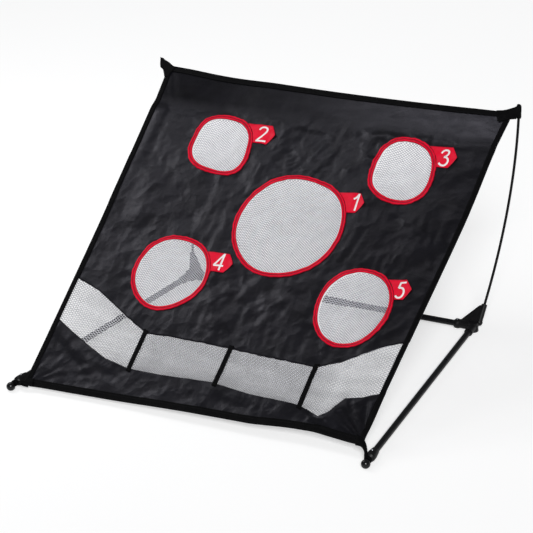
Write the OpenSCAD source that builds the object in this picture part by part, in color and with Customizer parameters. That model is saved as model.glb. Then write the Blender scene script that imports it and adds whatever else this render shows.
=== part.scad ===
// Golf chipping net: a black target sheet with five netted holes and a catch trough,
// stretched between a knock-down tube base and two sprung rods.
// +X is to the right, +Y to the back, +Z up. The origin lies on the ground, under the middle.

/* [Base frame] */
// How far each ball foot lies outside the sheet's lower corner
corner_gap = 30; // [24:1:60]
// Distance between the centres of the two rear connectors
hub_spacing = 880; // [760:10:960]
// Distance from the ball feet back to the rear tube
base_depth = 755; // [600:5:850]
// Height of the base tubes' centres above the ground
tube_height = 13.5; // [13:0.5:18]
// Outside diameter of the steel base tubes
tube_d = 16; // [14:0.5:18]
// Wall of the steel base tubes
tube_wall = 1.2; // [0.8:0.1:2]
// Outside diameter of the sleeve that joins the two rear tubes
coupler_d = 19.5; // [18.5:0.5:24]
// Length of the sleeve that joins the two rear tubes
coupler_length = 120; // [60:10:300]
// Diameter of a ball foot
ball_d = 23; // [20:1:27]
// How much of a ball foot is cut flat to stand on
ball_flat = 0.5; // [0.3:0.1:1]
// Diameter of the stem that joins a ball foot to its socket
stem_d = 10; // [8:0.5:11]
// Length of a front socket
front_socket_length = 42; // [40:1:60]
// Widest diameter of a front socket
front_socket_d = 25; // [24:0.5:26.5]
// How deep each tube sits in its plastic fitting
tube_insert = 30; // [20:1:34]

/* [Rear connectors] */
// Diameter of the two tube sockets of a rear connector
hub_socket_d = 22; // [20:0.5:25]
// Diameter of the rounded collar at the rear tube's socket
collar_d = 26; // [24:0.5:26.5]
// Length of the rounded collar at the rear tube's socket
collar_length = 17; // [14:1:30]
// How deep the rear tube sits in its connector
rear_insert = 41; // [30:1:60]
// Diameter of the hub under a rear connector
hub_d = 27; // [24:1:34]
// Diameter of the rod socket of a rear connector
rod_socket_d = 15; // [12:0.5:20]
// Length of the rod socket of a rear connector
rod_socket_length = 50; // [40:1:60]
// Thickness of the gusset between the rear tube and the rod socket
gusset_thickness = 5; // [3:0.5:8]

/* [Sprung rods] */
// Diameter of a fibreglass rod
rod_d = 7; // [5:0.5:9]
// How far outside its rear connector a rod leaves the socket
rod_foot_out = 15; // [5:1:30]
// How far behind the rear tube a rod leaves the socket
rod_foot_back = 42; // [30:1:60]
// Height at which a rod leaves its socket
rod_foot_height = 61; // [55:1:75]
// How far each rod's tip lies outside the sheet's wider upper corner
tip_gap = 9; // [6:1:30]
// How far the rods bow backwards from a straight line
rod_bow = 46; // [20:1:70]
// How deep a rod sits in its socket
rod_insert = 38; // [25:1:45]
// Wall of the ferrule round a rod's foot
ferrule_wall = 0.5; // [0.3:0.1:0.8]

/* [Target sheet] */
// Length of the sheet's plane, up the slope from the ground line to the rod tips
slope_length = 1018; // [960:2:1060]
// Slope of the sheet above the ground
slope_angle = 34.9; // [30:0.1:42]
// How far behind the ball feet the sheet's plane starts
sheet_front = 30; // [20:1:50]
// Height at which the sheet's plane starts
sheet_lift = 22; // [18:1:40]
// Width of the sheet at its foot
sheet_width = 980; // [900:10:1040]
// How much wider the sheet's left side is at the top
left_flare = 22; // [10:1:40]
// How much wider the sheet's right side is at the top
right_flare = 41; // [10:1:44]
// How far the top edge lies below the rod tips, up the slope
top_margin = 18; // [8:1:30]
// How far the top edge drops towards its right end
top_skew = 3.2; // [0:0.2:8]
// How far the top edge sags at the middle
top_sag = 11; // [0:1:30]
// How far the bottom edge rises at the middle
bottom_bow = 5.5; // [0:0.5:20]
// How far the bottom edge is pulled up near its right end
bottom_pull = 9.5; // [0:0.5:12]
// How far the bottom edge drops at its left corner and rises at its right
bottom_skew = 17; // [0:1:20]
// Thickness of the sheet
sheet_thickness = 1.2; // [0.8:0.1:2]
// How far the middle of the sheet sags
sheet_belly = 8; // [0:1:14]
// Height of the sheet's main folds
fold_height = 5; // [0:1:8]
// Height of the fold at the drooping end of the lip
lip_fold_height = 7; // [0:1:9]

/* [Holes and trough] */
// Mean clear radius of the large middle hole
middle_hole_r = 146; // [120:1:150]
// Mean clear radius of the two upper holes
upper_hole_r = 84; // [70:1:90]
// Mean clear radius of the two lower holes
lower_hole_r = 99; // [80:1:101]
// Place of the middle hole, across and up the slope
middle_hole_at = [49, 572]; // [-600:1:600]
// Place of the upper left hole
upper_left_hole_at = [-248, 782]; // [-800:1:800]
// Place of the upper right hole
upper_right_hole_at = [301, 778]; // [-800:1:800]
// Place of the lower left hole
lower_left_hole_at = [-224, 381]; // [-400:1:400]
// Place of the lower right hole
lower_right_hole_at = [319, 374]; // [-400:1:400]
// Width of the binding round each hole
binding_width = 13.5; // [8:0.5:14]
// Thickness of the binding round each hole
binding_thickness = 2; // [1:0.25:3]
// Depth of the middle net pocket
middle_pocket_depth = 30; // [10:1:50]
// Depth of the other four net pockets
side_pocket_depth = 22; // [10:1:36]
// Height of the open trough, up the slope
trough_height = 100; // [70:2:110]
// Height up the slope of the trough's lower edge at the middle
trough_start = 97; // [90:1:120]
// How much higher the trough runs at the two sides
trough_rise = 106; // [60:2:120]
// How far the lip droops near its right end
lip_droop = 60; // [0:2:60]
// Place across the sheet of the trough's left knee
trough_left_knee = -214; // [-260:1:-150]
// Place across the sheet of the trough's right knee
trough_right_knee = 284; // [200:1:300]
// Depth of the trough's net below the sheet
trough_depth = 34; // [20:1:44]
// Width of a strap across the trough
divider_width = 13; // [8:1:20]
// Width of a strand of the nets
strand_width = 2.6; // [2:0.2:4]
// Thickness of the nets
net_thickness = 1; // [0.8:0.1:1.4]
// Width of the nets' hidden border under the sheet
net_border = 9; // [6:1:12]

/* [Edges and corners] */
// Width of the top hem
top_hem_width = 17; // [10:1:30]
// Width of the bottom hem
bottom_hem_width = 20; // [10:1:30]
// Width of the two side straps
side_strap_width = 15; // [10:1:24]
// Thickness of hems, straps and tags
trim_thickness = 1.5; // [1:0.1:2]
// Length of the number tag of a hole at the left or middle, beyond its binding
tag_length = 62; // [40:2:76]
// Length of the number tag of a hole at the right, beyond its binding
right_tag_length = 46; // [40:2:54]
// Height of a number tag
tag_height = 58; // [40:1:62]
// Length of a number tag's point
tag_point = 17; // [8:1:24]
// Turn of the tags against the sheet
tag_turn = 10; // [0:1:20]
// Outside diameter of the sleeve that takes a rod's tip
tip_sleeve_d = 13; // [12:0.5:16]
// Length of the sleeve that takes a rod's tip
tip_sleeve_length = 42; // [26:1:48]
// Width of the webbing loop round a ball foot's stem
loop_width = 9; // [6:0.5:10]
// Thickness of the webbing loops
loop_thickness = 4; // [1.6:0.2:5]
// How far a corner's webbing reaches over the sheet
corner_reach = 30; // [20:1:40]

/* [Lock buttons] */
// Diameter of a lock button
button_d = 6; // [5:0.5:7]
// How far a lock button stands out of its fitting
button_rise = 3; // [2.6:0.2:4]
// Width of the spring strip under a lock button
spring_width = 5; // [3:0.5:6]
// Thickness of the spring strip under a lock button
spring_strip = 0.5; // [0.4:0.1:0.8]

/* [Hidden] */

// Fits: between a tube or rod and its socket, between moving pieces, and between layers of cloth
plug_fit = 0.15;
button_fit = 0.1;
tip_fit = 0.9;
layer_gap = 0.5;
round_fn = 64;
tube_fn = 48;
arc_fn = 720;

// ---- Frame geometry ----
half_width = sheet_width / 2;
axis_z = tube_height;
ball_z = ball_d / 2 - ball_flat;
tube_r = tube_d / 2;
bore_r = tube_r + plug_fit;
foot_x = half_width + corner_gap;
hub_x = hub_spacing / 2;
side_splay = atan2(foot_x - hub_x, base_depth);
side_length = norm([foot_x - hub_x, base_depth]);

// The rods, in a frame whose y is counted from the ball feet
rod_foot = [hub_x + rod_foot_out, base_depth + rod_foot_back, rod_foot_height];
rod_tip = [
    half_width + max(left_flare, right_flare) + tip_gap,
    sheet_front + slope_length * cos(slope_angle),
    sheet_lift + slope_length * sin(slope_angle)
];
ferrule_r = rod_d / 2 + ferrule_wall;
rod_chord = norm(rod_tip - rod_foot);
rod_along = (rod_tip - rod_foot) / rod_chord;
rod_aside = unit([0, 1, 0] - rod_along[1] * rod_along);
rod_arc_r = rod_chord * rod_chord / (8 * rod_bow) + rod_bow / 2;
rod_half_angle = asin(rod_chord / 2 / rod_arc_r);
rod_arc_centre = (rod_foot + rod_tip) / 2 - rod_aside * (rod_arc_r - rod_bow);
rod_foot_dir = cos(rod_half_angle) * rod_along + sin(rod_half_angle) * rod_aside;
rod_tip_dir = cos(rod_half_angle) * rod_along - sin(rod_half_angle) * rod_aside;

// The object's reach from front to back, which sets where the origin lies
back_reach = rod_arc_centre[1] + rod_d / 2
    + rod_arc_r * norm([rod_aside[1], rod_along[1]]);
front_y = -(back_reach - ball_d / 2) / 2;
rear_y = front_y + base_depth;

// ---- Front socket, along the side tube from the ball's centre ----
socket_start = ball_d / 2 + loop_width + 2 * layer_gap + 0.2;
tube_front_end = socket_start + front_socket_length - tube_insert;
front_button_at = tube_front_end + 9;
stem_insert = 10;
stem_end = socket_start + stem_insert;

// ---- Rear connector ----
tube_rear_end = 9;
hub_socket_end = tube_rear_end + tube_insert;
rear_tube_end = tube_rear_end + 4;
collar_end = rear_tube_end + rear_insert;
collar_start = collar_end - collar_length;
rear_button_at = (collar_start + collar_end) / 2;
rod_socket_foot = rod_foot - rod_foot_dir * rod_socket_length;

// ---- Lock buttons ----
button_r = button_d / 2;
button_hole_r = button_r + button_fit;
button_foot = tube_r - tube_wall - 2.2;
spring_foot = -(tube_r - tube_wall - 0.8);
spring_top = button_foot - 0.3;
spring_run = 24;

// ---- Sheet geometry ----
strap_inner = half_width - side_strap_width;
core_half = strap_inner - 46;
top_v = slope_length - top_margin;

// The sewn holes are slightly oval. Each is [place, mean radius, share by which the longer radius
// is longer, turn of the longer radius, tag number, tag's place round the hole, tag length].
hole_list = [
    [lower_right_hole_at, lower_hole_r, 0.054, 83, 5, 27, right_tag_length],
    [lower_left_hole_at, lower_hole_r, 0.013, 147, 4, 17, tag_length],
    [middle_hole_at, middle_hole_r, 0.033, 158, 1, 27, tag_length],
    [upper_right_hole_at, upper_hole_r, 0.062, 117, 3, 25, right_tag_length],
    [upper_left_hole_at, upper_hole_r, 0.091, 140, 2, 20, tag_length]
];

// Edges of the trough: its flat middle runs between two knees
trough_foot_edge = [
    [-half_width, trough_start + trough_rise - 12],
    [trough_left_knee - 6, trough_start],
    [trough_right_knee + 6, trough_start - 5],
    [trough_right_knee + 70, trough_start + 31 - lip_droop],
    [trough_right_knee + 94, trough_start + 45 - lip_droop * 0.8],
    [trough_right_knee + 120, trough_start + 56 - lip_droop * 0.35],
    [half_width, trough_start + trough_rise - lip_droop * 0.58]
];
trough_head_edge = [
    [-half_width, trough_start + trough_height + trough_rise],
    [trough_left_knee, trough_start + trough_height],
    [trough_right_knee, trough_start + trough_height - 3],
    [trough_right_knee + 60, trough_start + trough_height + 20],
    [half_width, trough_start + trough_height + trough_rise]
];
divider_at = [trough_left_knee - 4, (trough_left_knee + trough_right_knee) / 2 + 3, trough_right_knee + 3];

// Main folds of the cloth as [start, end, height, width], clear of the bindings and tags
folds = [
    [[-400, 640], [-390, 540], fold_height, 60],
    [[-72, 312], [-34, 282], fold_height, 46],
    [[5, 880], [130, 862], -fold_height, 60],
    [[400, 640], [405, 560], fold_height, 60],
    [[354, 52], [388, 84], lip_fold_height, 46]
];
lip_fold_columns = [308, 324, 340, 354, 371, 388, 404, 420, 434];

// The stretch of the bottom edge that is pulled up
pull_at = 325;
pull_reach = 160;

// ---- Small functions ----
function unit(a) = a / norm(a);
function limit(x, low, high) = max(low, min(high, x));
function flat(lists) = [for (l = lists) for (x = l) x];

// Distance from a point to the stretch between two points
function from_segment(p, a, b) =
    let (t = limit((p - a) * (b - a) / ((b - a) * (b - a)), 0, 1))
    norm(p - a - t * (b - a));

// How far the cloth stands off its plane
function ridge(p, f) =
    let (d = min(1, from_segment(p, f[0], f[1]) / f[3]))
    f[2] * pow(1 - d * d, 2);
function total(list, i = 0) = i >= len(list) ? 0 : list[i] + total(list, i + 1);
function off_plane(s, v) =
    let (across = limit(s / half_width, -1, 1), up = limit(2 * v / top_v - 1, -1, 1))
    -sheet_belly * (1 - across * across) * (1 - up * up)
    + total([for (f = folds) ridge([s, v], f)]);

// The sheet widens towards its top, between its core and the side straps. The left side curves
// out slowly, and the right side bulges out by its middle.
function flare(s, up) =
    s < 0 ? -left_flare * pow(up, 2.2) : right_flare * sin(90 * pow(up, 1.35));
function flared(s, v) =
    s + flare(s, limit(v / top_v, 0, 1)) * limit((abs(s) - core_half) / (strap_inner - core_half), 0, 1);

// A place on the sheet: s across, v up the slope, w out of the cloth
function on_sheet(s, v, w) =
    let (off = off_plane(s, v) + w)
    [
        flared(s, v),
        front_y + sheet_front + v * cos(slope_angle) - off * sin(slope_angle),
        sheet_lift + v * sin(slope_angle) + off * cos(slope_angle)
    ];

function bottom_edge(s) =
    let (a = limit(s / half_width, -1, 1), d = limit((s - pull_at) / pull_reach, -1, 1))
    bottom_skew * a + bottom_bow * (1 - a * a) + bottom_pull * pow(1 - d * d, 2);
function top_edge(s) =
    let (a = limit(s / half_width, -1, 1)) top_v - top_skew * a - top_sag * (1 - a * a);
function trough_foot(s) = lookup(s, trough_foot_edge);
function trough_head(s) = lookup(s, trough_head_edge);

// ---- Cloth: a lifted sheet between two edges, with oval holes ----
function sorted(list) =
    len(list) < 2 ? list :
    let (pivot = list[floor(len(list) / 2)])
    concat(
        sorted([for (x = list) if (x < pivot) x]),
        [for (x = list) if (x == pivot) x],
        sorted([for (x = list) if (x > pivot) x])
    );
function nearest(x, list) = len(list) == 0 ? 1e9 : min([for (y = list) abs(x - y)]);
function thinned(list, fixed, gap, i = 0, kept = []) =
    i >= len(list) ? kept :
    thinned(list, fixed, gap, i + 1,
        nearest(list[i], concat(fixed, kept)) > gap ? concat(kept, [list[i]]) : kept);
function filled(list, step) =
    flat([for (i = [0:len(list) - 1])
        i == len(list) - 1 ? [list[i]] :
        let (n = max(1, ceil((list[i + 1] - list[i]) / step)))
        [for (k = [0:n - 1]) list[i] + (list[i + 1] - list[i]) * k / n]]);

// Oval holes are [across, up, longer radius, shorter radius, turn of the longer one].
// How far one reaches across, and the middle and half length of its upright chord at s.
function reach_of(h) = norm([h[2] * cos(h[4]), h[3] * sin(h[4])]);
function chord_middle(s, h) =
    h[1] + (s - h[0]) * (h[2] * h[2] - h[3] * h[3]) * sin(h[4]) * cos(h[4]) / pow(reach_of(h), 2);
function half_chord(s, h) =
    h[2] * h[3] * sqrt(max(0, pow(reach_of(h), 2) - pow(s - h[0], 2))) / pow(reach_of(h), 2);

function hole_foot(s, h) = chord_middle(s, h) - half_chord(s, h);
function hole_head(s, h) = chord_middle(s, h) + half_chord(s, h);

// The columns: the edges and knees, the ends of each hole, and points between them
function columns(from, to, knees, holes, step) =
    let (
        ends = sorted(concat([from, to], flat([for (h = holes) [h[0] - reach_of(h), h[0] + reach_of(h)]]))),
        inner = sorted(concat(
            [for (k = knees) if (k > from && k < to) k],
            flat([for (h = holes) [for (a = [22.5:22.5:157.5]) h[0] + reach_of(h) * cos(a)]])
        )),
        kept = thinned(inner, ends, 7)
    )
    filled(sorted(concat(ends, kept)), step);

function crossed(s, holes, slack) = [for (h = holes) if (abs(s - h[0]) < reach_of(h) + slack) h];

// The solid stretches of one column, as [low, high]
function stretches(s, holes, low, high) =
    let (n = len(holes))
    [for (k = [0:n])
        [
            k == 0 ? low(s) : hole_head(s, holes[k - 1]),
            k == n ? high(s) : hole_foot(s, holes[k])
        ]];

// All points of one column, from low to high, with a row along the seam of a hem
function column_points(s, holes, low, high, step, seam) =
    let (parts = stretches(s, crossed(s, holes, 0.01), low, high))
    flat([for (k = [0:len(parts) - 1])
        let (
            low_seam = k == 0 ? max(0, seam) : 0,
            high_seam = k == len(parts) - 1 ? max(0, -seam) : 0,
            a = parts[k][0] + low_seam,
            b = parts[k][1] - high_seam,
            n = max(1, ceil((b - a) / step)),
            first = k > 0 && abs(a - parts[k - 1][1]) < 0.01 ? 1 : 0
        )
        concat(
            low_seam > 0 ? [parts[k][0]] : [],
            [for (j = [first:n]) a + (b - a) * j / n],
            high_seam > 0 ? [parts[k][1]] : []
        )]);

// Triangles between two columns, going up both sides at once
function zipped(a, b, va, vb, i = 0, j = 0) =
    let (last_a = len(a) - 1, last_b = len(b) - 1)
    i >= last_a && j >= last_b ? [] :
    let (
        fa = i >= last_a ? 2 : (va[i + 1] - va[0]) / max(0.01, va[last_a] - va[0]),
        fb = j >= last_b ? 2 : (vb[j + 1] - vb[0]) / max(0.01, vb[last_b] - vb[0])
    )
    fa < fb
        ? concat([[a[i], b[j], a[i + 1]]], zipped(a, b, va, vb, i + 1, j))
        : concat([[a[i], b[j], b[j + 1]]], zipped(a, b, va, vb, i, j + 1));

function between(points, low, high) =
    [for (j = [0:len(points) - 1]) if (points[j] > low - 0.01 && points[j] < high + 0.01) j];
function closest(points, v) =
    [for (j = [0:len(points) - 1]) if (abs(points[j] - v) < 0.01) j][0];
function running(list, i = 0, sum = 0) =
    i >= len(list) ? [] : concat([sum], running(list, i + 1, sum + list[i]));

// A cloth piece between the edges low(s) and high(s), from w_low to w_high out of the sheet.
// seam is the width of a hem on its low edge, or on its high edge where it is negative.
module cloth(from, to, low, high, w_low, w_high, holes = [], knees = [], step_s = 75, step_v = 75, seam = 0) {
    s = columns(from, to, knees, holes, step_s);
    points = [for (x = s) column_points(x, holes, low, high, step_v, seam)];
    start = running([for (p = points) len(p)]);
    count = start[len(s) - 1] + len(points[len(s) - 1]);
    last = len(s) - 1;
    layer = [for (i = [0:last]) for (v = points[i]) [s[i], v]];
    faces = flat([for (i = [0:last - 1])
        let (
            inside = crossed((s[i] + s[i + 1]) / 2, holes, 0),
            left = stretches(s[i], inside, low, high),
            right = stretches(s[i + 1], inside, low, high)
        )
        flat([for (k = [0:len(left) - 1])
            let (
                a = between(points[i], left[k][0], left[k][1]),
                b = between(points[i + 1], right[k][0], right[k][1])
            )
            zipped(
                [for (j = a) start[i] + j], [for (j = b) start[i + 1] + j],
                [for (j = a) points[i][j]], [for (j = b) points[i + 1][j]]
            )])]);
    // Edges with the cloth on their left
    edges = concat(
        [for (i = [0:last - 1]) [start[i], start[i + 1]]],
        [for (i = [0:last - 1])
            [start[i + 1] + len(points[i + 1]) - 1, start[i] + len(points[i]) - 1]],
        [for (j = [0:len(points[last]) - 2]) [start[last] + j, start[last] + j + 1]],
        [for (j = [0:len(points[0]) - 2]) [start[0] + j + 1, start[0] + j]],
        flat([for (i = [0:last - 1])
            flat([for (h = crossed((s[i] + s[i + 1]) / 2, holes, 0))
                [
                    [
                        start[i + 1] + closest(points[i + 1], hole_foot(s[i + 1], h)),
                        start[i] + closest(points[i], hole_foot(s[i], h))
                    ],
                    [
                        start[i] + closest(points[i], hole_head(s[i], h)),
                        start[i + 1] + closest(points[i + 1], hole_head(s[i + 1], h))
                    ]
                ]])])
    );
    slab(layer, count, faces, edges, w_low, w_high);
}

// A closed solid from a flat layout of triangles, lifted onto the sheet
module slab(layer, count, faces, edges, w_low, w_high) {
    polyhedron(
        concat(
            [for (p = layer) on_sheet(p[0], p[1], w_high)],
            [for (p = layer) on_sheet(p[0], p[1], w_low)]
        ),
        concat(
            [for (f = faces) [f[2], f[1], f[0]]],
            [for (f = faces) [f[0] + count, f[1] + count, f[2] + count]],
            flat([for (e = edges)
                [[e[0], e[1], e[1] + count], [e[0], e[1] + count, e[0] + count]]])
        ),
        convexity = 10
    );
}

// A solid through cross-sections of the same number of points
module loft(rings, closed = false) {
    n = len(rings[0]);
    m = len(rings);
    sides = flat([for (i = [0:(closed ? m - 1 : m - 2)])
        flat([for (j = [0:n - 1])
            let (
                a = i * n + j,
                b = i * n + (j + 1) % n,
                c = ((i + 1) % m) * n + (j + 1) % n,
                d = ((i + 1) % m) * n + j
            )
            [[a, b, c], [a, c, d]]])]);
    caps = closed ? [] : concat(
        [for (j = [1:n - 2]) [0, j + 1, j]],
        [for (j = [1:n - 2]) [(m - 1) * n, (m - 1) * n + j, (m - 1) * n + j + 1]]
    );
    polyhedron(flat(rings), concat(sides, caps), convexity = 6);
}

// A net of nx by ny gaps; place(a, b, w) puts the unit square's point a, b on its surface
module net(nx, ny, share_x, share_y, place) {
    xs = flat([for (i = [0:nx]) let (x = i * (1 - share_x) / nx) [x, x + share_x]]);
    ys = flat([for (j = [0:ny]) let (y = j * (1 - share_y) / ny) [y, y + share_y]]);
    m = len(xs);
    k = len(ys);
    count = m * k;
    quads = [for (i = [0:m - 2]) for (j = [0:k - 2]) if (i % 2 == 0 || j % 2 == 0) [i, j]];
    gaps = [for (i = [1:2:m - 2]) for (j = [1:2:k - 2]) [i, j]];
    top = flat([for (q = quads)
        let (a = q[0] * k + q[1], b = a + k)
        [[a, a + 1, b + 1], [a, b + 1, b]]]);
    edges = concat(
        [for (i = [0:m - 2]) [i * k, (i + 1) * k]],
        [for (i = [0:m - 2]) [(i + 1) * k + k - 1, i * k + k - 1]],
        [for (j = [0:k - 2]) [(m - 1) * k + j, (m - 1) * k + j + 1]],
        [for (j = [0:k - 2]) [j + 1, j]],
        flat([for (g = gaps)
            let (a = g[0] * k + g[1], b = a + k)
            [[a, a + 1], [a + 1, b + 1], [b + 1, b], [b, a]]])
    );
    polyhedron(
        concat(
            [for (x = xs) for (y = ys) place(x, y, net_thickness)],
            [for (x = xs) for (y = ys) place(x, y, 0)]
        ),
        concat(
            top,
            [for (f = top) [f[2] + count, f[1] + count, f[0] + count]],
            flat([for (e = edges)
                [[e[0], e[1], e[1] + count], [e[0], e[1] + count, e[0] + count]]])
        ),
        convexity = 10
    );
}

// ---- Placing along the frame ----
module oriented(origin, z_dir, x_hint) {
    z = unit(z_dir);
    y = unit(cross(z, x_hint));
    x = cross(y, z);
    multmatrix([
        [x[0], y[0], z[0], origin[0]],
        [x[1], y[1], z[1], origin[1]],
        [x[2], y[2], z[2], origin[2]]
    ]) children();
}

// Right-hand pieces are mirrored for the left
module on_side(side) {
    if (side > 0) {
        children();
    } else {
        mirror([1, 0, 0]) children();
    }
}

// From the right ball foot's centre, with +Z running back along the side tube
module along_side_tube() {
    translate([foot_x, front_y, axis_z]) rotate([-90, 0, side_splay]) children();
}

// From the right rear connector's centre, with +Z running inwards along the rear tube
module along_rear_tube() {
    translate([hub_x, rear_y, axis_z]) rotate([0, -90, 0]) children();
}

// Vertical, at a distance from the ball's centre or from the rear connector's centre
module above_side_tube(at) {
    translate([foot_x - at * sin(side_splay), front_y + at * cos(side_splay), axis_z]) children();
}

module above_rear_tube(at) {
    translate([hub_x - at, rear_y, axis_z]) children();
}

function frame_point(p) = [p[0], p[1] + front_y, p[2]];

// ---- Tubes ----
module tube(from, to) {
    difference() {
        translate([0, 0, from]) cylinder(h = to - from, r = tube_r, $fn = tube_fn);
        translate([0, 0, from - 1]) cylinder(h = to - from + 2, r = tube_r - tube_wall, $fn = tube_fn);
    }
}

module button_hole() {
    cylinder(h = hub_d, r = button_hole_r, $fn = 24);
}

module rear_tube(side) {
    color("#191a1c") on_side(side) difference() {
        along_rear_tube() tube(rear_tube_end, hub_x - 0.5);
        above_rear_tube(rear_button_at) button_hole();
    }
}

module rear_tube_coupler() {
    color("#141416") translate([-coupler_length / 2, rear_y, axis_z]) rotate([0, 90, 0]) difference() {
        cylinder(h = coupler_length, r = coupler_d / 2, $fn = tube_fn);
        translate([0, 0, -1]) cylinder(h = coupler_length + 2, r = bore_r, $fn = tube_fn);
    }
}

module side_tube(side) {
    color("#191a1c") on_side(side) difference() {
        along_side_tube() tube(tube_front_end, side_length - tube_rear_end);
        above_side_tube(front_button_at) button_hole();
    }
}

// ---- Front sockets and ball feet ----
module front_socket(side) {
    wide = front_socket_d / 2;
    wall_r = tube_r + 1.8;
    back = front_socket_length;
    color("#111113") on_side(side) difference() {
        along_side_tube() translate([0, 0, socket_start]) difference() {
            rotate_extrude($fn = round_fn) polygon([
                [stem_d / 2 + plug_fit, 0],
                [wide - 5, 0],
                [wide - 1, 4],
                [wide, 9],
                [wide, 20],
                [wall_r + 1, back - 8],
                [wall_r, back - 1],
                [wall_r - 0.8, back],
                [0, back],
                [0, stem_insert + 1],
                [stem_d / 2 + plug_fit, stem_insert + 1]
            ]);
            translate([0, 0, back - tube_insert]) cylinder(h = tube_insert + 1, r = bore_r, $fn = tube_fn);
        }
        above_side_tube(front_button_at) button_hole();
    }
}

module ball_foot(side) {
    color("#0e0e10") on_side(side) difference() {
        union() {
            translate([foot_x, front_y, ball_z]) sphere(d = ball_d, $fn = round_fn);
            along_side_tube() cylinder(h = stem_end, d = stem_d, $fn = tube_fn);
        }
        translate([foot_x, front_y, -ball_d / 2]) cube([ball_d, ball_d, ball_d], center = true);
    }
}

// ---- Rear connectors ----
module rear_connector(side) {
    socket_foot = frame_point(rod_socket_foot);
    hub = [hub_x, rear_y, axis_z];
    gusset_top = [rod_foot_out - 3, norm([rod_foot_back, rod_foot_height - axis_z]) - 3];
    gusset_lean = atan2(rod_foot_height - axis_z, rod_foot_back);
    collar_r = collar_d / 2;
    color("#121214") on_side(side) difference() {
        union() {
            // Hub with its flat foot
            translate([hub_x, rear_y, 0]) cylinder(h = axis_z + hub_socket_d / 2, d = hub_d, $fn = round_fn);
            // Sockets of the rear tube and the side tube
            along_rear_tube() cylinder(h = collar_start + 1, d = hub_socket_d, $fn = round_fn);
            along_rear_tube() translate([0, 0, collar_start]) rotate_extrude($fn = round_fn) polygon([
                [0, 0], [collar_r - 3, 0], [collar_r - 0.8, 2.5], [collar_r, 6],
                [collar_r, collar_length - 6], [collar_r - 0.8, collar_length - 2.5],
                [collar_r - 3, collar_length], [0, collar_length]
            ]);
            along_side_tube() translate([0, 0, side_length - hub_socket_end])
                cylinder(h = hub_socket_end, d = hub_socket_d, $fn = round_fn);
            // Arm and socket of the rod
            oriented(hub, socket_foot - hub, [1, 0, 0])
                cylinder(h = norm(socket_foot - hub), d = rod_socket_d, $fn = tube_fn);
            translate(socket_foot) sphere(d = rod_socket_d + 3, $fn = tube_fn);
            oriented(socket_foot, rod_foot_dir, [1, 0, 0])
                cylinder(h = rod_socket_length, d = rod_socket_d, $fn = tube_fn);
            // Gusset from the collar to the rod socket's mouth
            translate(hub) rotate([gusset_lean, 0, 0])
                translate([0, 0, -gusset_thickness / 2]) linear_extrude(gusset_thickness) polygon([
                    [-collar_end + 3, 0],
                    [-collar_end + 3, tube_r + 1],
                    [-collar_start, collar_d / 2],
                    [gusset_top[0] - 9, gusset_top[1] - 2],
                    [gusset_top[0], gusset_top[1]],
                    [rod_socket_d / 2, 12],
                    [0, 0]
                ]);
        }
        along_rear_tube() translate([0, 0, rear_tube_end])
            cylinder(h = rear_insert + 1, r = bore_r, $fn = tube_fn);
        along_side_tube() translate([0, 0, side_length - hub_socket_end - 1])
            cylinder(h = tube_insert + 1, r = bore_r, $fn = tube_fn);
        oriented(frame_point(rod_foot - rod_foot_dir * rod_insert), rod_foot_dir, [1, 0, 0])
            cylinder(h = rod_insert + 20, r = ferrule_r + plug_fit, $fn = tube_fn);
        above_rear_tube(rear_button_at) button_hole();
    }
}

// ---- Sprung rods ----
module rod(side) {
    color("#0c0c0d") on_side(side) {
        oriented(frame_point(rod_foot - rod_foot_dir * (rod_insert - plug_fit)), rod_foot_dir, [1, 0, 0])
            cylinder(h = rod_insert, r = ferrule_r, $fn = tube_fn);
        oriented(frame_point(rod_arc_centre), cross(rod_along, rod_aside), -rod_aside)
            rotate([0, 0, 180 - rod_half_angle])
                rotate_extrude(angle = 2 * rod_half_angle, $fn = arc_fn)
                    translate([rod_arc_r, 0]) circle(d = rod_d, $fn = tube_fn);
    }
}

// ---- Lock buttons and their springs ----
module lock_button(rise) {
    color("#c9cbd0") {
        translate([0, 0, button_foot]) cylinder(h = rise - button_foot, r = button_r, $fn = 32);
        translate([0, 0, rise]) intersection() {
            sphere(r = button_r, $fn = 32);
            cylinder(h = button_r, r = button_r, $fn = 32);
        }
    }
}

module button_spring() {
    outer = [
        [-spring_run, spring_foot], [4, spring_foot], [4, spring_foot + spring_strip],
        [-spring_run + 1, spring_foot + spring_strip], [-spring_run + 2, -1],
        [-4, spring_top - spring_strip], [4, spring_top - spring_strip],
        [4, spring_top], [-5, spring_top], [-spring_run, 0]
    ];
    color("#9a9da3") rotate([90, 0, 0]) translate([0, 0, -spring_width / 2])
        linear_extrude(spring_width) polygon(outer);
}

module lock_button_rear(side) {
    on_side(side) above_rear_tube(rear_button_at)
        lock_button(collar_d / 2 + button_rise - button_r);
}

module lock_button_front(side) {
    on_side(side) above_side_tube(front_button_at)
        lock_button(front_socket_d / 2 + button_rise - button_r);
}

module button_spring_rear(side) {
    on_side(side) above_rear_tube(rear_button_at) rotate([0, 0, 180]) button_spring();
}

module button_spring_front(side) {
    on_side(side) above_side_tube(front_button_at) rotate([0, 0, 90 + side_splay])
        mirror([1, 0, 0]) button_spring();
}

// ---- Target sheet ----
panel_low = -sheet_thickness / 2;
panel_high = sheet_thickness / 2;
trim_low = panel_high + layer_gap;
trim_high = trim_low + trim_thickness;
net_high = panel_low - layer_gap;
hem_knees = [-strap_inner, strap_inner];
lip_knees = concat(hem_knees, lip_fold_columns);

module target_panel() {
    color("#24242a") cloth(
        -half_width, half_width, function(s) trough_head(s), function(s) top_edge(s),
        panel_low, panel_high,
        holes = [for (h = hole_list) oval(h, 3)],
        knees = concat(hem_knees, [for (p = trough_head_edge) p[0]]), seam = -top_hem_width
    );
}

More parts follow.
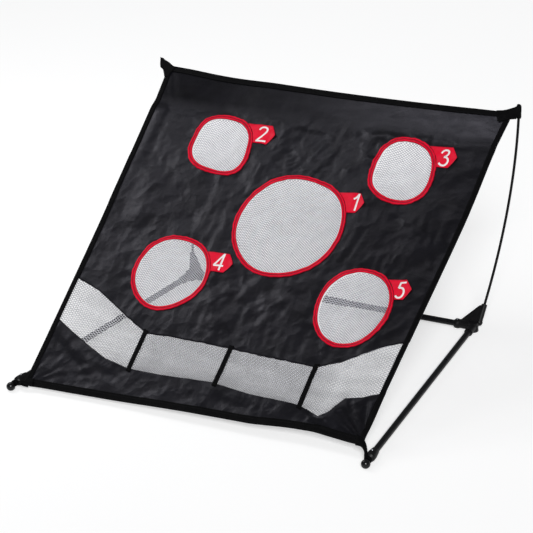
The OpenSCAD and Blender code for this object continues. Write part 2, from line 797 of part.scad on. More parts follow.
module lower_lip() {
    color("#222228") cloth(
        -half_width, half_width, function(s) bottom_edge(s), function(s) trough_foot(s),
        panel_low, panel_high,
        knees = concat(lip_knees, [for (p = trough_foot_edge) p[0]]), step_v = 18, seam = bottom_hem_width
    );
}

module top_hem() {
    color("#151518") cloth(
        -strap_inner, strap_inner, function(s) top_edge(s) - top_hem_width, function(s) top_edge(s),
        trim_low, trim_high
    );
}

module bottom_hem() {
    color("#151518") cloth(
        -strap_inner, strap_inner, function(s) bottom_edge(s), function(s) bottom_edge(s) + bottom_hem_width,
        trim_low, trim_high, knees = lip_fold_columns
    );
}

module side_strap(side) {
    inner = side * (strap_inner + layer_gap);
    outer = side * half_width;
    color("#131315") cloth(
        min(inner, outer), max(inner, outer), function(s) bottom_edge(s), function(s) top_edge(s),
        trim_low, trim_high
    );
}

// A hole's oval, widened by a margin, and a point on it at an angle from its longer radius
function oval(h, margin) = [h[0][0], h[0][1], h[1] * (1 + h[2]) + margin, h[1] * (1 - h[2]) + margin, h[3]];
function on_oval(o, a, share = 1) =
    let (x = o[2] * share * cos(a), y = o[3] * share * sin(a))
    [o[0] + x * cos(o[4]) - y * sin(o[4]), o[1] + x * sin(o[4]) + y * cos(o[4])];
function hole_of(number) = [for (h = hole_list) if (h[4] == number) h][0];

module ring_binding(number) {
    h = hole_of(number);
    sides = number == 1 ? 40 : 32;
    color("#d41c34") loft([for (i = [0:sides - 1])
        let (a = 360 * i / sides)
        [for (c = [[0, trim_low], [0, trim_low + binding_thickness],
                [binding_width, trim_low + binding_thickness], [binding_width, trim_low]])
            let (p = on_oval(oval(h, c[0]), a)) on_sheet(p[0], p[1], c[1])]], closed = true);
}

module number_tag(number) {
    h = hole_of(number);
    reach = h[1] + binding_width + layer_gap;
    rise = reach * sin(h[5]);
    foot = rise - tag_height / 2;
    head = rise + tag_height / 2;
    point = reach * cos(h[5]) + h[6];
    // The binding's outer edge in the tag's own directions, x along the tag and y up it
    o = oval(h, binding_width + layer_gap);
    edge = [0, 0, o[2], o[3], tag_turn + 90 - h[3]];
    arc = [for (k = [0:4]) let (y = head + (foot - head) * k / 4) [hole_head(y, edge), y]];
    outline = concat(
        [[point, rise - 2], [point - tag_point, head]], arc, [[point - tag_point - 5, foot]]
    );
    layer = [for (p = outline) [
        o[0] + p[0] * cos(tag_turn) - p[1] * sin(tag_turn),
        o[1] + p[0] * sin(tag_turn) + p[1] * cos(tag_turn)
    ]];
    n = len(layer);
    color("#dc2038") slab(
        layer, n, [for (j = [1:n - 2]) [0, j, j + 1]],
        [for (j = [0:n - 1]) [j, (j + 1) % n]], trim_low, trim_high
    );
}

module pocket_net(number) {
    h = hole_of(number);
    o = oval(h, net_border);
    hole = oval(h, 0);
    gaps = number == 1 ? 9 : 6;
    share = strand_width * 2 / o[2];
    depth = number == 1 ? middle_pocket_depth : side_pocket_depth;
    color("#d8d9dc") net(gaps, gaps, share, share, function(a, b, w)
        let (
            x = 2 * a - 1,
            y = 2 * b - 1,
            dx = x * sqrt(1 - y * y / 2),
            dy = y * sqrt(1 - x * x / 2),
            out = norm([dx * o[2] / hole[2], dy * o[3] / hole[3]]),
            dip = depth * pow(max(0, 1 - out * out), 0.7),
            p = on_oval(o, atan2(dy, dx), norm([dx, dy]))
        )
        on_sheet(p[0], p[1], net_high - net_thickness - dip + w));
}

module trough_net() {
    half = strap_inner + 10;
    color("#d8d9dc") net(24, 3, 0.1 / 24, 0.06, function(a, b, w)
        let (
            s = (2 * a - 1) * half,
            low = trough_foot(s),
            high = trough_head(s),
            v = low - net_border + (high - low + 2 * net_border) * b,
            t = limit((v - low) / (high - low), 0, 1),
            ends = 1 - pow(abs(s / half), 6)
        )
        on_sheet(s, v, net_high - net_thickness - trough_depth * 4 * t * (1 - t) * ends + w));
}

module divider_strap(index) {
    at = divider_at[index];
    color("#151518") cloth(
        at - divider_width / 2, at + divider_width / 2,
        function(s) trough_foot(s) - net_border, function(s) trough_head(s) + net_border,
        trim_low, trim_high
    );
}

// ---- Corners ----
// The sheet's flat plane: x across, y up the slope, z out of the cloth
module on_plane() {
    translate([0, front_y + sheet_front, sheet_lift]) rotate([slope_angle, 0, 0]) children();
}

corner_low = trim_high + layer_gap;
tip_cap = 8;
neck_at = ball_d / 2 + layer_gap + loop_width / 2;
neck = [
    foot_x - neck_at * sin(side_splay),
    (neck_at * cos(side_splay) - sheet_front) * cos(slope_angle) + (axis_z - sheet_lift) * sin(slope_angle)
];

module corner_pocket(side) {
    tip = frame_point(rod_tip);
    corner = [half_width + (side < 0 ? left_flare : right_flare), top_edge(side * half_width)];
    pin = [rod_tip[0], slope_length];
    sleeve_bore = tip_sleeve_length - tip_cap;
    color("#101012") on_side(side) {
        on_plane() translate([0, 0, corner_low]) linear_extrude(trim_thickness) polygon([
            corner + [-corner_reach, -1],
            corner + [-10, -corner_reach],
            corner + [-1, -corner_reach],
            pin + [-3, side < 0 ? -14 : -corner_reach - 10],
            pin + [5, -8],
            pin + [5, 3],
            pin + [-5, 5]
        ]);
        oriented(tip - rod_tip_dir * sleeve_bore, rod_tip_dir, [1, 0, 0]) difference() {
            cylinder(h = tip_sleeve_length, d = tip_sleeve_d, $fn = tube_fn);
            translate([0, 0, -1]) cylinder(h = sleeve_bore + 1 + plug_fit, r = rod_d / 2 + tip_fit, $fn = tube_fn);
        }
    }
}

module corner_loop(side) {
    corner = [half_width, bottom_edge(side * half_width)];
    inner_r = stem_d / 2 + layer_gap;
    ring_edge = inner_r + loop_thickness / 4;
    color("#131315") on_side(side) {
        on_plane() translate([0, 0, corner_low]) linear_extrude(trim_thickness) polygon([
            corner + [-corner_reach, 2],
            neck + [-ring_edge, -4],
            neck + [-ring_edge, 5],
            corner + [-2, corner_reach]
        ]);
        along_side_tube() translate([0, 0, ball_d / 2 + layer_gap]) difference() {
            cylinder(h = loop_width, r = inner_r + loop_thickness, $fn = tube_fn);
            translate([0, 0, -1]) cylinder(h = loop_width + 2, r = inner_r, $fn = tube_fn);
        }
    }
}

rear_tube(-1);  // rear_tube_left
rear_tube(1);  // rear_tube_right
rear_tube_coupler();
side_tube(-1);  // side_tube_left
side_tube(1);  // side_tube_right
rear_connector(-1);  // rear_connector_left
rear_connector(1);  // rear_connector_right
front_socket(-1);  // front_socket_left
front_socket(1);  // front_socket_right
ball_foot(-1);  // ball_foot_left
ball_foot(1);  // ball_foot_right
rod(-1);  // rod_left
rod(1);  // rod_right
lock_button_rear(-1);  // lock_button_rear_left
lock_button_rear(1);  // lock_button_rear_right
lock_button_front(-1);  // lock_button_front_left
lock_button_front(1);  // lock_button_front_right
button_spring_rear(-1);  // button_spring_rear_left
button_spring_rear(1);  // button_spring_rear_right
button_spring_front(-1);  // button_spring_front_left
button_spring_front(1);  // button_spring_front_right
target_panel();
lower_lip();
top_hem();
bottom_hem();
side_strap(-1);  // side_strap_left
side_strap(1);  // side_strap_right
ring_binding(1);  // ring_binding_1
ring_binding(2);  // ring_binding_2
ring_binding(3);  // ring_binding_3
ring_binding(4);  // ring_binding_4
ring_binding(5);  // ring_binding_5
number_tag(1);  // number_tag_1
number_tag(2);  // number_tag_2
number_tag(3);  // number_tag_3
number_tag(4);  // number_tag_4
number_tag(5);  // number_tag_5
pocket_net(1);  // pocket_net_1
pocket_net(2);  // pocket_net_2
pocket_net(3);  // pocket_net_3
pocket_net(4);  // pocket_net_4
pocket_net(5);  // pocket_net_5
trough_net();
divider_strap(0);  // divider_strap_left
divider_strap(1);  // divider_strap_middle
divider_strap(2);  // divider_strap_right
corner_pocket(-1);  // corner_pocket_left
corner_pocket(1);  // corner_pocket_right
corner_loop(-1);  // corner_loop_left
corner_loop(1);  // corner_loop_right
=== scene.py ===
# %% [markdown]
# # A golf chipping net
# The object is a cloth target that leans back at about 35 degrees. A knock-down base of steel
# tube lies on the ground, and two bent fibreglass rods pull the cloth's top corners up and back.
# The engineered pieces (tubes, sockets, rods, lock buttons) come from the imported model. This
# script gives them their finish, and builds everything sewn: the sheet with its five holes, the
# bindings, the number tags, the nets, the hems and the corner webbing.

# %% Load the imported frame
import math

import bpy
import numpy as np
from mathutils import Matrix, Vector


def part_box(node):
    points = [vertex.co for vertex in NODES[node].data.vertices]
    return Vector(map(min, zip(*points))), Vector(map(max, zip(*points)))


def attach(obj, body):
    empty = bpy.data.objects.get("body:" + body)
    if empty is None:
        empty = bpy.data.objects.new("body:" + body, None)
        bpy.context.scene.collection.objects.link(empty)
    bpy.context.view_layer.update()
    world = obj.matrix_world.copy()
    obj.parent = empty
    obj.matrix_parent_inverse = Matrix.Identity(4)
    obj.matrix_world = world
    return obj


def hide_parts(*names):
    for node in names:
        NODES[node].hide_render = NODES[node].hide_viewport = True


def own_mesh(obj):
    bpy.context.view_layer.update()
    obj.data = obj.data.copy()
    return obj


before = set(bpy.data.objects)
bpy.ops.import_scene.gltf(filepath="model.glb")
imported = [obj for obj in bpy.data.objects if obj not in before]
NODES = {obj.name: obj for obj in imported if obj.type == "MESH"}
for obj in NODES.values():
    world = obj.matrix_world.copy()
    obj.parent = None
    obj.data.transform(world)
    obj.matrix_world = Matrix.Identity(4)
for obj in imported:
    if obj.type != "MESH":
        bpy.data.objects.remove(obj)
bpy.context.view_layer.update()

MM = 0.001

# %% [markdown]
# ## The camera
# A long lens from far away keeps the sheet's edges nearly parallel. The camera's direction is
# built from three angles: yaw to the left, pitch down, and a small roll.

# %% Camera
BALL_RADIUS = 11.5 * MM
FRONT_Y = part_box("ball_foot_right")[0][1] + BALL_RADIUS
CAMERA_AT = Vector((2.9353, FRONT_Y - 4.2195, 2.7618))
YAW, PITCH, ROLL = math.radians(-32.11), math.radians(24.53), math.radians(-4.58)
LENS_MM = 158.37
SENSOR_MM = 36.0


def camera_axes(yaw, pitch, roll):
    """The camera's right, up and forward directions."""
    ahead = Vector((math.sin(yaw) * math.cos(pitch), math.cos(yaw) * math.cos(pitch), -math.sin(pitch)))
    right = Vector((math.cos(yaw), -math.sin(yaw), 0.0))
    up = right.cross(ahead)
    turned_right = math.cos(roll) * right + math.sin(roll) * up
    return turned_right, math.cos(roll) * up - math.sin(roll) * right, ahead


camera_data = bpy.data.cameras.new("camera")
camera_data.lens = LENS_MM
camera_data.sensor_width = SENSOR_MM
camera_data.clip_end = 50.0
camera = bpy.data.objects.new("camera", camera_data)
bpy.context.scene.collection.objects.link(camera)
right, up, ahead = camera_axes(YAW, PITCH, ROLL)
camera.matrix_world = Matrix.Translation(CAMERA_AT) @ Matrix((right, up, -ahead)).transposed().to_4x4()
bpy.context.scene.camera = camera
bpy.context.scene.view_settings.view_transform = "Standard"
print("camera", [round(x, 3) for x in CAMERA_AT], "lens", LENS_MM)

# %% [markdown]
# ## Floor, world and lamps
# The object stands on a plain white floor in a soft studio. The floor shows as white to the
# camera and still takes a little of the object's shadow. Black polyester has almost no colour of
# its own and reads by what its creases mirror. So the world stays dim, and a broad sun lights the
# colours from the front. Two soft lamps hang high on the left, just beside the place that flat
# cloth would mirror, so that tilted cloth shines and the creases show.

# %% Colours and nodes


def linear(hex_colour, alpha=1.0):
    """An sRGB hex colour as linear red, green, blue and alpha."""
    channels = [int(hex_colour[i:i + 2], 16) / 255 for i in (1, 3, 5)]
    return tuple(c / 12.92 if c <= 0.04045 else ((c + 0.055) / 1.055) ** 2.4 for c in channels) + (alpha,)


def add(tree, kind, inputs=None, **settings):
    """Adds a node. Each input is a value, a socket, or a node to link from by its first output."""
    node = tree.nodes.new(kind)
    for name, value in settings.items():
        setattr(node, name, value)
    for name, value in (inputs or {}).items():
        if isinstance(value, bpy.types.Node):
            value = value.outputs[0]
        if isinstance(value, bpy.types.NodeSocket):
            tree.links.new(value, node.inputs[name])
        else:
            node.inputs[name].default_value = value
    return node


def fresh_tree(name):
    """A new material and its empty node tree."""
    material = bpy.data.materials.new(name)
    material.use_nodes = True
    material.node_tree.nodes.clear()
    return material, material.node_tree


print("middle grey #808080 is", round(linear("#808080")[0], 3), "in linear light")

# %% Floor and world
FLOOR_HALF = 6.0
SHADOW_SHARE = 0.72
FLOOR_GLOW = 1.72
WORLD_LIGHT = 0.15


def seen_or_not(tree, shown, hidden):
    """One shader for camera rays and another for all other rays."""
    rays = add(tree, "ShaderNodeLightPath")
    return add(tree, "ShaderNodeMixShader", {0: rays.outputs["Is Camera Ray"], 1: hidden, 2: shown})


def white_floor():
    """Camera rays see white, darkened a little by the object's shadow. Others see pale paper."""
    material, tree = fresh_tree("white_studio_paper")
    paper = add(tree, "ShaderNodeBsdfDiffuse", {"Color": linear("#f4f4f4")})
    lit = add(tree, "ShaderNodeBsdfDiffuse", {"Color": linear("#ffffff")})
    glow = add(tree, "ShaderNodeEmission", {"Color": linear("#ffffff"), "Strength": FLOOR_GLOW})
    shown = add(tree, "ShaderNodeMixShader", {0: 1 - SHADOW_SHARE, 1: lit, 2: glow})
    add(tree, "ShaderNodeOutputMaterial", {"Surface": seen_or_not(tree, shown, paper)})
    return material


def studio_world():
    """White behind everything, and a dim light from all sides."""
    world = bpy.data.worlds.new("studio")
    bpy.context.scene.world = world
    world.use_nodes = True
    tree = world.node_tree
    tree.nodes.clear()
    soft = add(tree, "ShaderNodeBackground", {"Color": linear("#f2f4f8"), "Strength": WORLD_LIGHT})
    white = add(tree, "ShaderNodeBackground", {"Color": linear("#ffffff"), "Strength": 1.0})
    add(tree, "ShaderNodeOutputWorld", {"Surface": seen_or_not(tree, white, soft)})


floor_mesh = bpy.data.meshes.new("floor")
floor_corners = [(x * FLOOR_HALF, y * FLOOR_HALF, 0) for x, y in ((-1, -1), (1, -1), (1, 1), (-1, 1))]
floor_mesh.from_pydata(floor_corners, [], [(0, 1, 2, 3)])
floor = bpy.data.objects.new("floor", floor_mesh)
bpy.context.scene.collection.objects.link(floor)
floor_mesh.materials.append(white_floor())
studio_world()
print("floor:", 2 * FLOOR_HALF, "m wide, world light", WORLD_LIGHT)

# %% Lamps
AIM = Vector((0, 0, 0.3))
SUN_DISTANCE = 5.0


def hung_lamp(name, data, direction, distance):
    """Puts a lamp at a distance from the sheet's middle and returns it."""
    lamp = bpy.data.objects.new(name, data)
    bpy.context.scene.collection.objects.link(lamp)
    lamp.location = AIM + Vector(direction).normalized() * distance
    return lamp


def softbox(name, direction, distance, size, power):
    """A square lamp that faces the sheet's middle."""
    data = bpy.data.lights.new(name, "AREA")
    data.shape = "SQUARE"
    data.size = size
    data.energy = power
    lamp = hung_lamp(name, data, direction, distance)
    lamp.rotation_euler = (AIM - lamp.location).to_track_quat("-Z", "Y").to_euler()


def broad_sun(name, direction, angle, strength):
    """An even light over the whole floor, with soft-edged shadows."""
    data = bpy.data.lights.new(name, "SUN")
    data.angle = math.radians(angle)
    data.energy = strength
    lamp = hung_lamp(name, data, direction, SUN_DISTANCE)
    lamp.rotation_euler = Vector(direction).to_track_quat("Z", "Y").to_euler()


broad_sun("lamp_key", direction=(0.47, -0.68, 0.57), angle=20, strength=2.5)
softbox("lamp_sheen", direction=(-0.78, 0.02, 0.62), distance=2.8, size=1.1, power=13)
softbox("lamp_top", direction=(-0.38, 0.12, 0.915), distance=3.0, size=0.8, power=5.5)
print("lamps:", sorted(light.name for light in bpy.data.lights))

# %% [markdown]
# ## The sheet's plan
# Every sewn piece lies on one leaning surface, so one set of functions places them all: `across`
# runs to the right, `slope` runs up the cloth and `out` stands off it. The cut is a little wider
# at the top than at the foot, and the pull of the corners bows its edges.

# %% The sheet's edges
SLOPE_ANGLE = math.radians(34.9)
SHEET_FRONT = 30 * MM
SHEET_LIFT = 22 * MM
HALF_WIDTH = 490 * MM
STRAP_WIDTH = 15 * MM
STRAP_INNER = HALF_WIDTH - STRAP_WIDTH
CORE_HALF = STRAP_INNER - 46 * MM
LEFT_FLARE, RIGHT_FLARE = 22 * MM, 41 * MM
TOP_EDGE, TOP_SAG, TOP_SKEW = 1000 * MM, 11 * MM, 3.2 * MM
BOTTOM_BOW, BOTTOM_SKEW = 5.5 * MM, 17 * MM
PULL_UP, PULL_AT, PULL_REACH = 9.5 * MM, 325 * MM, 160 * MM


def flare(across, slope):
    """How far a side edge has moved outwards at a height up the slope."""
    rise = np.clip(slope / TOP_EDGE, 0, 1)
    left = -LEFT_FLARE * rise ** 2.2
    right = RIGHT_FLARE * np.sin(math.pi / 2 * rise ** 1.35)
    return np.where(across < 0, left, right)


def flared(across, slope):
    """Moves a point of the straight cut to its place on the widened sheet."""
    pull = np.clip((np.abs(across) - CORE_HALF) / (STRAP_INNER - CORE_HALF), 0, 1)
    return across + flare(across, slope) * pull


def bottom_edge(across):
    """The lower edge: skewed, bowed, and pulled up a little right of the middle."""
    a = np.clip(across / HALF_WIDTH, -1, 1)
    d = np.clip((across - PULL_AT) / PULL_REACH, -1, 1)
    return BOTTOM_SKEW * a + BOTTOM_BOW * (1 - a * a) + PULL_UP * (1 - d * d) ** 2


def top_edge(across):
    """The upper edge, which sags between the rods' tips."""
    a = np.clip(across / HALF_WIDTH, -1, 1)
    return TOP_EDGE - TOP_SKEW * a - TOP_SAG * (1 - a * a)


# %% [markdown]
# ## Holes and trough
# The five holes aren't true circles: the binding was sewn by a hand-guided machine on slippery
# cloth and then stretched. So each rim is a circle with a few slow waves on it. The trough's
# two edges are broken lines between the dividers, with a slack V near the right end.

# %% The holes and the trough's edges


class Hole:
    """A bound hole: its centre, its mean radius, the waves of its rim, its binding and its tag."""

    def __init__(self, number, centre, radius, waves, binding, tag_tip, tag_turn, tag_height, numeral_at):
        self.number = number
        self.centre = np.array(centre) * MM
        self.radius = radius * MM
        self.waves = [(count, height * MM, math.radians(phase)) for count, height, phase in waves]
        self.binding = binding * MM
        self.tag_tip = np.array(tag_tip) * MM
        self.tag_turn = math.radians(tag_turn)
        self.tag_height = tag_height * MM
        self.numeral_at = np.array(numeral_at) * MM

    def reach(self, angle):
        """The rim's distance from the centre, for angles counted from the across axis."""
        total = self.radius + 0 * angle
        for count, height, phase in self.waves:
            total = total + height * np.cos(count * angle - phase)
        return total

    def rim_point(self, angle, outside=0.0):
        """Points on the rim, or some way outside it."""
        far = self.reach(angle) + outside
        return self.centre + np.stack([far * np.cos(angle), far * np.sin(angle)], axis=-1)

    def share(self, flat):
        """How far out each point lies, as a share of the way to the rim."""
        d = flat - self.centre
        return np.hypot(d[:, 0], d[:, 1]) / self.reach(np.arctan2(d[:, 1], d[:, 0]))


HOLES = [
    Hole(1, (49, 572), 145.8, [(2, 4.9, -43), (3, 1.1, 70), (4, 1.2, -170), (5, 1.3, -148)], 12.4,
         (236.3, 667.5), 5, 58, (-27.5, 1.7)),
    Hole(2, (-248, 782.5), 84.2, [(2, 7.8, -80), (3, 1.6, -83), (4, 4.1, 180), (6, 1.1, 100)], 13.3,
         (-99.4, 831.5), 1.5, 58, (-37.8, -0.5)),
    Hole(3, (301, 778), 83.3, [(2, 5.2, -127), (3, 0.9, -95), (4, 2.2, 162)], 13.3,
         (437.0, 836.0), 3.5, 59, (-34.8, -1.8)),
    Hole(4, (-224.5, 381), 100.1, [(2, 1.3, -66), (3, 1.8, 42), (5, 1.0, -92)], 12.6,
         (-58.3, 435.8), 3, 55.5, (-39.0, 1.5)),
    Hole(5, (319, 374), 96.8, [(2, 5.3, 166), (3, 0.9, 95)], 12.1,
         (454.6, 450.0), 9.5, 57, (-27.2, -1.8)),
]
TROUGH_FOOT = [
    (-490, 193), (-430, 163), (-370, 136), (-300, 107), (-220, 92), (-120, 92), (30, 100), (140, 89),
    (284, 87), (312, 79), (350, 65), (372, 82), (396, 128), (440, 140), (490, 165)]
TROUGH_HEAD = [
    (-490, 317), (-400, 288), (-340, 258), (-280, 227), (-214, 197), (-150, 202), (40, 200), (140, 197),
    (284, 194), (344, 220), (400, 258), (450, 291), (490, 308)]


def along(edge):
    """An edge given by its knees in millimetres, as a function of across."""
    knees = np.array(edge) * MM
    return lambda across: np.interp(across, knees[:, 0], knees[:, 1])


trough_foot, straight_head = along(TROUGH_FOOT), along(TROUGH_HEAD)
SEAM_WANDER = 2.6 * MM
WANDER_LENGTH = 19 * MM


def trough_head(across):
    """The upper edge, which the sewing machine left a little wavy."""
    return straight_head(across) + SEAM_WANDER * noise(across / WANDER_LENGTH, 0 * across, 33)


print("holes:", [hole.number for hole in HOLES])

# %% [markdown]
# ## Creases
# The cloth was folded in a bag and then pulled tight at its corners, so it keeps broad billows,
# sharp creases where it was folded, gathers at the corners and little puckers round each
# binding. Noise makes the billows and the small creases; the main creases are listed one by one.
# The band below the top hem is pulled flattest, and the cloth breaks along the band's lower edge.

# %% Folds and corners
BELLY = 8 * MM
FOLDS = [  # from across and slope, to across and slope, height, half width, all in millimetres
    (205, 470, 215, 740, 7, 240), (-315, 900, -315, 985, -7, 165), (-240, 40, -225, 85, -6, 240),
    (60, 850, 30, 790, 1.8, 18), (110, 852, 96, 770, -1.8, 18), (160, 850, 190, 800, 1.8, 18),
    (-20, 850, -40, 790, -1.8, 18), (-80, 860, -64, 800, 1.8, 18), (200, 840, 236, 770, -1.6, 16),
    (0, 760, -40, 730, 1.6, 14), (-60, 700, -110, 650, 1.8, 16), (-400, 640, -390, 540, 5, 60),
    (-72, 312, -34, 282, 5, 46), (5, 880, 130, 862, -3, 50), (400, 640, 405, 560, 5, 60),
    (354, 52, 388, 84, 7, 46), (-445, 865, -448, 720, -2.4, 20), (-470, 860, -478, 600, 1.6, 24),
    (-498, 700, -493, 560, 1.4, 18), (-300, 620, -246, 552, -3.2, 40),
    (-158, 640, -154, 480, -1.1, 12), (-132, 762, -62, 702, 2.0, 22),
    (-112, 800, -44, 736, -1.8, 20), (-152, 694, -104, 640, -2.0, 22),
    (22, 792, 2, 742, -1.4, 16), (84, 802, 62, 752, 1.4, 16), (150, 790, 128, 738, -1.2, 16),
    (246, 602, 232, 500, 1.6, 12), (264, 592, 250, 508, -1.4, 12), (318, 656, 420, 612, 1.9, 10),
    (330, 640, 414, 598, -1.3, 10), (438, 652, 452, 574, 1.7, 10), (452, 574, 476, 520, 1.6, 10),
    (378, 532, 368, 478, 1.5, 10), (8, 402, 60, 330, -2.4, 22), (24, 332, 20, 250, -1.8, 18),
    (76, 382, 126, 328, -2.4, 20), (132, 362, 214, 312, 2.2, 24), (214, 392, 222, 230, -2.2, 20),
    (254, 300, 276, 240, -2.0, 22), (-62, 442, -18, 376, -2.2, 24),
    (-102, 384, -62, 300, 1.6, 24), (-470, 160, -330, 72, 2.2, 24),
    (-404, 92, -250, 58, -1.8, 20), (280, 92, 335, 46, -2.6, 20), (335, 46, 470, 24, -2.4, 16),
    (312, 86, 362, 58, 2.8, 18), (362, 64, 446, 40, 2.4, 18), (486, 24, 430, 120, 3.0, 15),
    (486, 24, 456, 130, -2.6, 12), (486, 24, 404, 88, -2.6, 14), (488, 26, 476, 130, 2.0, 10),
    (-42, 92, 2, 48, 2.0, 22), (60, 60, 150, 40, -1.6, 18),
]
CORNERS = [  # across, slope, depth and number of the gathers that run out of the corner, and their reach
    (-0.490, -0.014, 1.6 * MM, 13, 0.11), (0.490, 0.016, 2.6 * MM, 15, 0.10),
    (-0.511, 0.998, 1.3 * MM, 14, 0.08), (0.530, 0.996, 1.0 * MM, 14, 0.07),
]
print("folds laid by hand:", len(FOLDS), "and gathers at", len(CORNERS), "corners")

# %% Noise


def random_at(ix, iy, seed):
    """A fixed random number from 0 to 1 for each whole-number place."""
    x = np.sin(ix * 127.1 + iy * 311.7 + seed * 74.7) * 43758.5453
    return x - np.floor(x)


def noise(x, y, seed):
    """Smooth gradient noise, about -0.7 to 0.7, with one feature to a unit."""
    ix, iy = np.floor(x), np.floor(y)
    fx, fy = x - ix, y - iy
    ux, uy = fx ** 3 * (fx * (fx * 6 - 15) + 10), fy ** 3 * (fy * (fy * 6 - 15) + 10)

    def pull(dx, dy):
        turn = 2 * math.pi * random_at(ix + dx, iy + dy, seed)
        return np.cos(turn) * (fx - dx) + np.sin(turn) * (fy - dy)

    near = pull(0, 0) * (1 - ux) + pull(1, 0) * ux
    far = pull(0, 1) * (1 - ux) + pull(1, 1) * ux
    return near * (1 - uy) + far * uy


def ramp(value, start, end):
    """0 before start, 1 after end, and a smooth step between."""
    t = np.clip((value - start) / (end - start), 0, 1)
    return t * t * (3 - 2 * t)


def from_segment(x, y, x0, y0, x1, y1):
    """The distance of each point from a straight stretch."""
    dx, dy = x1 - x0, y1 - y0
    t = np.clip(((x - x0) * dx + (y - y0) * dy) / (dx * dx + dy * dy), 0, 1)
    return np.hypot(x - x0 - t * dx, y - y0 - t * dy)


samples = noise(np.linspace(0, 40, 4001), np.linspace(0, 7, 4001), 1)
print("noise runs from", round(float(samples.min()), 2), "to", round(float(samples.max()), 2))

# %% Loose cloth


def wavy(x, y, height, wide, tall, seed):
    """Soft waves: their height, and their size across and up the slope."""
    return height * noise(x / wide, y / tall, seed)


def crested(x, y, height, wide, tall, seed):
    """Sharp crests, along the lines where noise crosses zero."""
    return height * (0.25 - np.abs(noise(x / wide, y / tall, seed)))


def loose_cloth(across, slope, x, y):
    """Billows, creases, small pinches and upright folds, busiest right of the middle."""
    busy = np.clip(0.85 + 0.9 * noise(across / 0.24, slope / 0.24, 7), 0.4, 1.3)
    busy = busy * np.interp(across, [-0.49, -0.25, -0.05, 0.49], [0.6, 0.8, 1.4, 1.25])
    billow = wavy(x, y, 4.4 * MM, 150 * MM, 190 * MM, 3)
    crease = crested(x, y, 3.9 * MM, 66 * MM, 88 * MM, 4)
    pinch = crested(x + 0.4 * y, y - 0.4 * x, 1.7 * MM, 30 * MM, 44 * MM, 5)
    upright = crested(x, y, 1.5 * MM, 26 * MM, 130 * MM, 6)
    return billow + (crease + pinch + upright) * busy


# %% The band below the top hem
BAND = 112 * MM
BAND_WANDER = 16 * MM
BAND_CALM = 0.78
EDGE_CALM = 0.8
DRIFT, DRIFT_SIZE = 26 * MM, 110 * MM


def break_line(across, slope, band_edge):
    """Along the band's foot the cloth stands out at the right, sinks at the left, and dips below."""
    height = np.interp(across, [-0.49, -0.30, -0.05, 0.15, 0.49], np.array([-6, -3.5, 1, 6, 12]) * MM)
    flank = np.interp(across, [-0.05, 0.2, 0.49], [0.03, 0.06, 0.24])
    rising = ramp(slope, band_edge - flank, band_edge + 4 * MM)
    falling = np.clip(1 - (slope - band_edge) / BAND, 0, 1)
    dip = 1.0 * MM * np.exp(-((slope - band_edge + 20 * MM) / (10 * MM)) ** 2)
    return height * rising * falling - dip


def away_from_edges(across, slope):
    """0 along the edges, where the tape holds the cloth flat, and 1 further in."""
    side = np.clip((HALF_WIDTH + np.abs(flare(across, slope)) - np.abs(across)) / (40 * MM), 0, 1)
    foot = np.clip((slope - bottom_edge(across)) / (30 * MM), 0, 1)
    head = np.clip((top_edge(across) - slope) / (50 * MM), 0, 1)
    return side * foot * head


def crumple(across, slope):
    """Loose cloth, calmed in the band below the top hem and along the edges."""
    x = across + wavy(across, slope, DRIFT, DRIFT_SIZE, DRIFT_SIZE, 1)
    y = slope + wavy(across, slope, DRIFT, DRIFT_SIZE, DRIFT_SIZE, 2)
    band_edge = top_edge(across) - BAND + BAND_WANDER * noise(across / 0.16, 0 * slope, 9)
    in_band = ramp(slope, band_edge - 8 * MM, band_edge + 14 * MM)
    streaks = wavy(x, y, 0.8 * MM, 120 * MM, 17 * MM, 10)
    cloth = loose_cloth(across, slope, x, y) * (1 - BAND_CALM * in_band) + streaks * in_band
    free = 1 - EDGE_CALM * (1 - away_from_edges(across, slope))
    return cloth * free + break_line(across, slope, band_edge)


# %% Gathers and puckers
CORNER_STITCH = 30 * MM
PUCKER_HEIGHT, PUCKER_SPACING, PUCKER_LENGTH = 0.95 * MM, 36 * MM, 24 * MM


def gathers(across, slope):
    """Pleats that fan out of the four pulled corners."""
    total = 0
    for corner_across, corner_slope, depth, count, reach in CORNERS:
        far = np.hypot(across - corner_across, slope - corner_slope)
        turn = np.arctan2(slope - corner_slope, across - corner_across)
        fade = np.exp(-far / reach) * np.clip(far / CORNER_STITCH, 0, 1)
        total = total + depth * fade * np.cos(count * turn + 9 * noise(turn * 2.2, far / 0.2, count))
    return total


def puckers(across, slope):
    """Short creases that the sewing leaves round each hole."""
    total = 0
    for hole in HOLES:
        dx, dy = across - hole.centre[0], slope - hole.centre[1]
        turn = np.arctan2(dy, dx)
        past = np.hypot(dx, dy) - hole.reach(turn) - hole.binding
        count = round(2 * math.pi * hole.radius / PUCKER_SPACING)
        wave = np.cos(count * turn + 5 * noise(np.cos(turn) * 2, np.sin(turn) * 2, 12 + hole.number))
        patch = np.clip(0.5 + 1.4 * noise(np.cos(turn) * 1.6, np.sin(turn) * 1.6, 20 + hole.number), 0, 1)
        fade = np.exp(-np.clip(past, 0, 1) / PUCKER_LENGTH) * ramp(past, -20 * MM, -2 * MM)
        total = total + PUCKER_HEIGHT * wave * patch * fade
    return total


# %% The creased sheet


def off_plane(across, slope):
    """How far the cloth stands off the leaning plane: belly, folds and all the small creases."""
    a = np.clip(across / HALF_WIDTH, -1, 1)
    b = np.clip(2 * slope / TOP_EDGE - 1, -1, 1)
    height = -BELLY * (1 - a * a) * (1 - b * b)
    for x0, y0, x1, y1, rise, width in FOLDS:
        far = from_segment(across, slope, x0 * MM, y0 * MM, x1 * MM, y1 * MM)
        near = np.minimum(1, far / (width * MM))
        height = height + rise * MM * (1 - near * near) ** 2
    return height + crumple(across, slope) + gathers(across, slope) + puckers(across, slope)


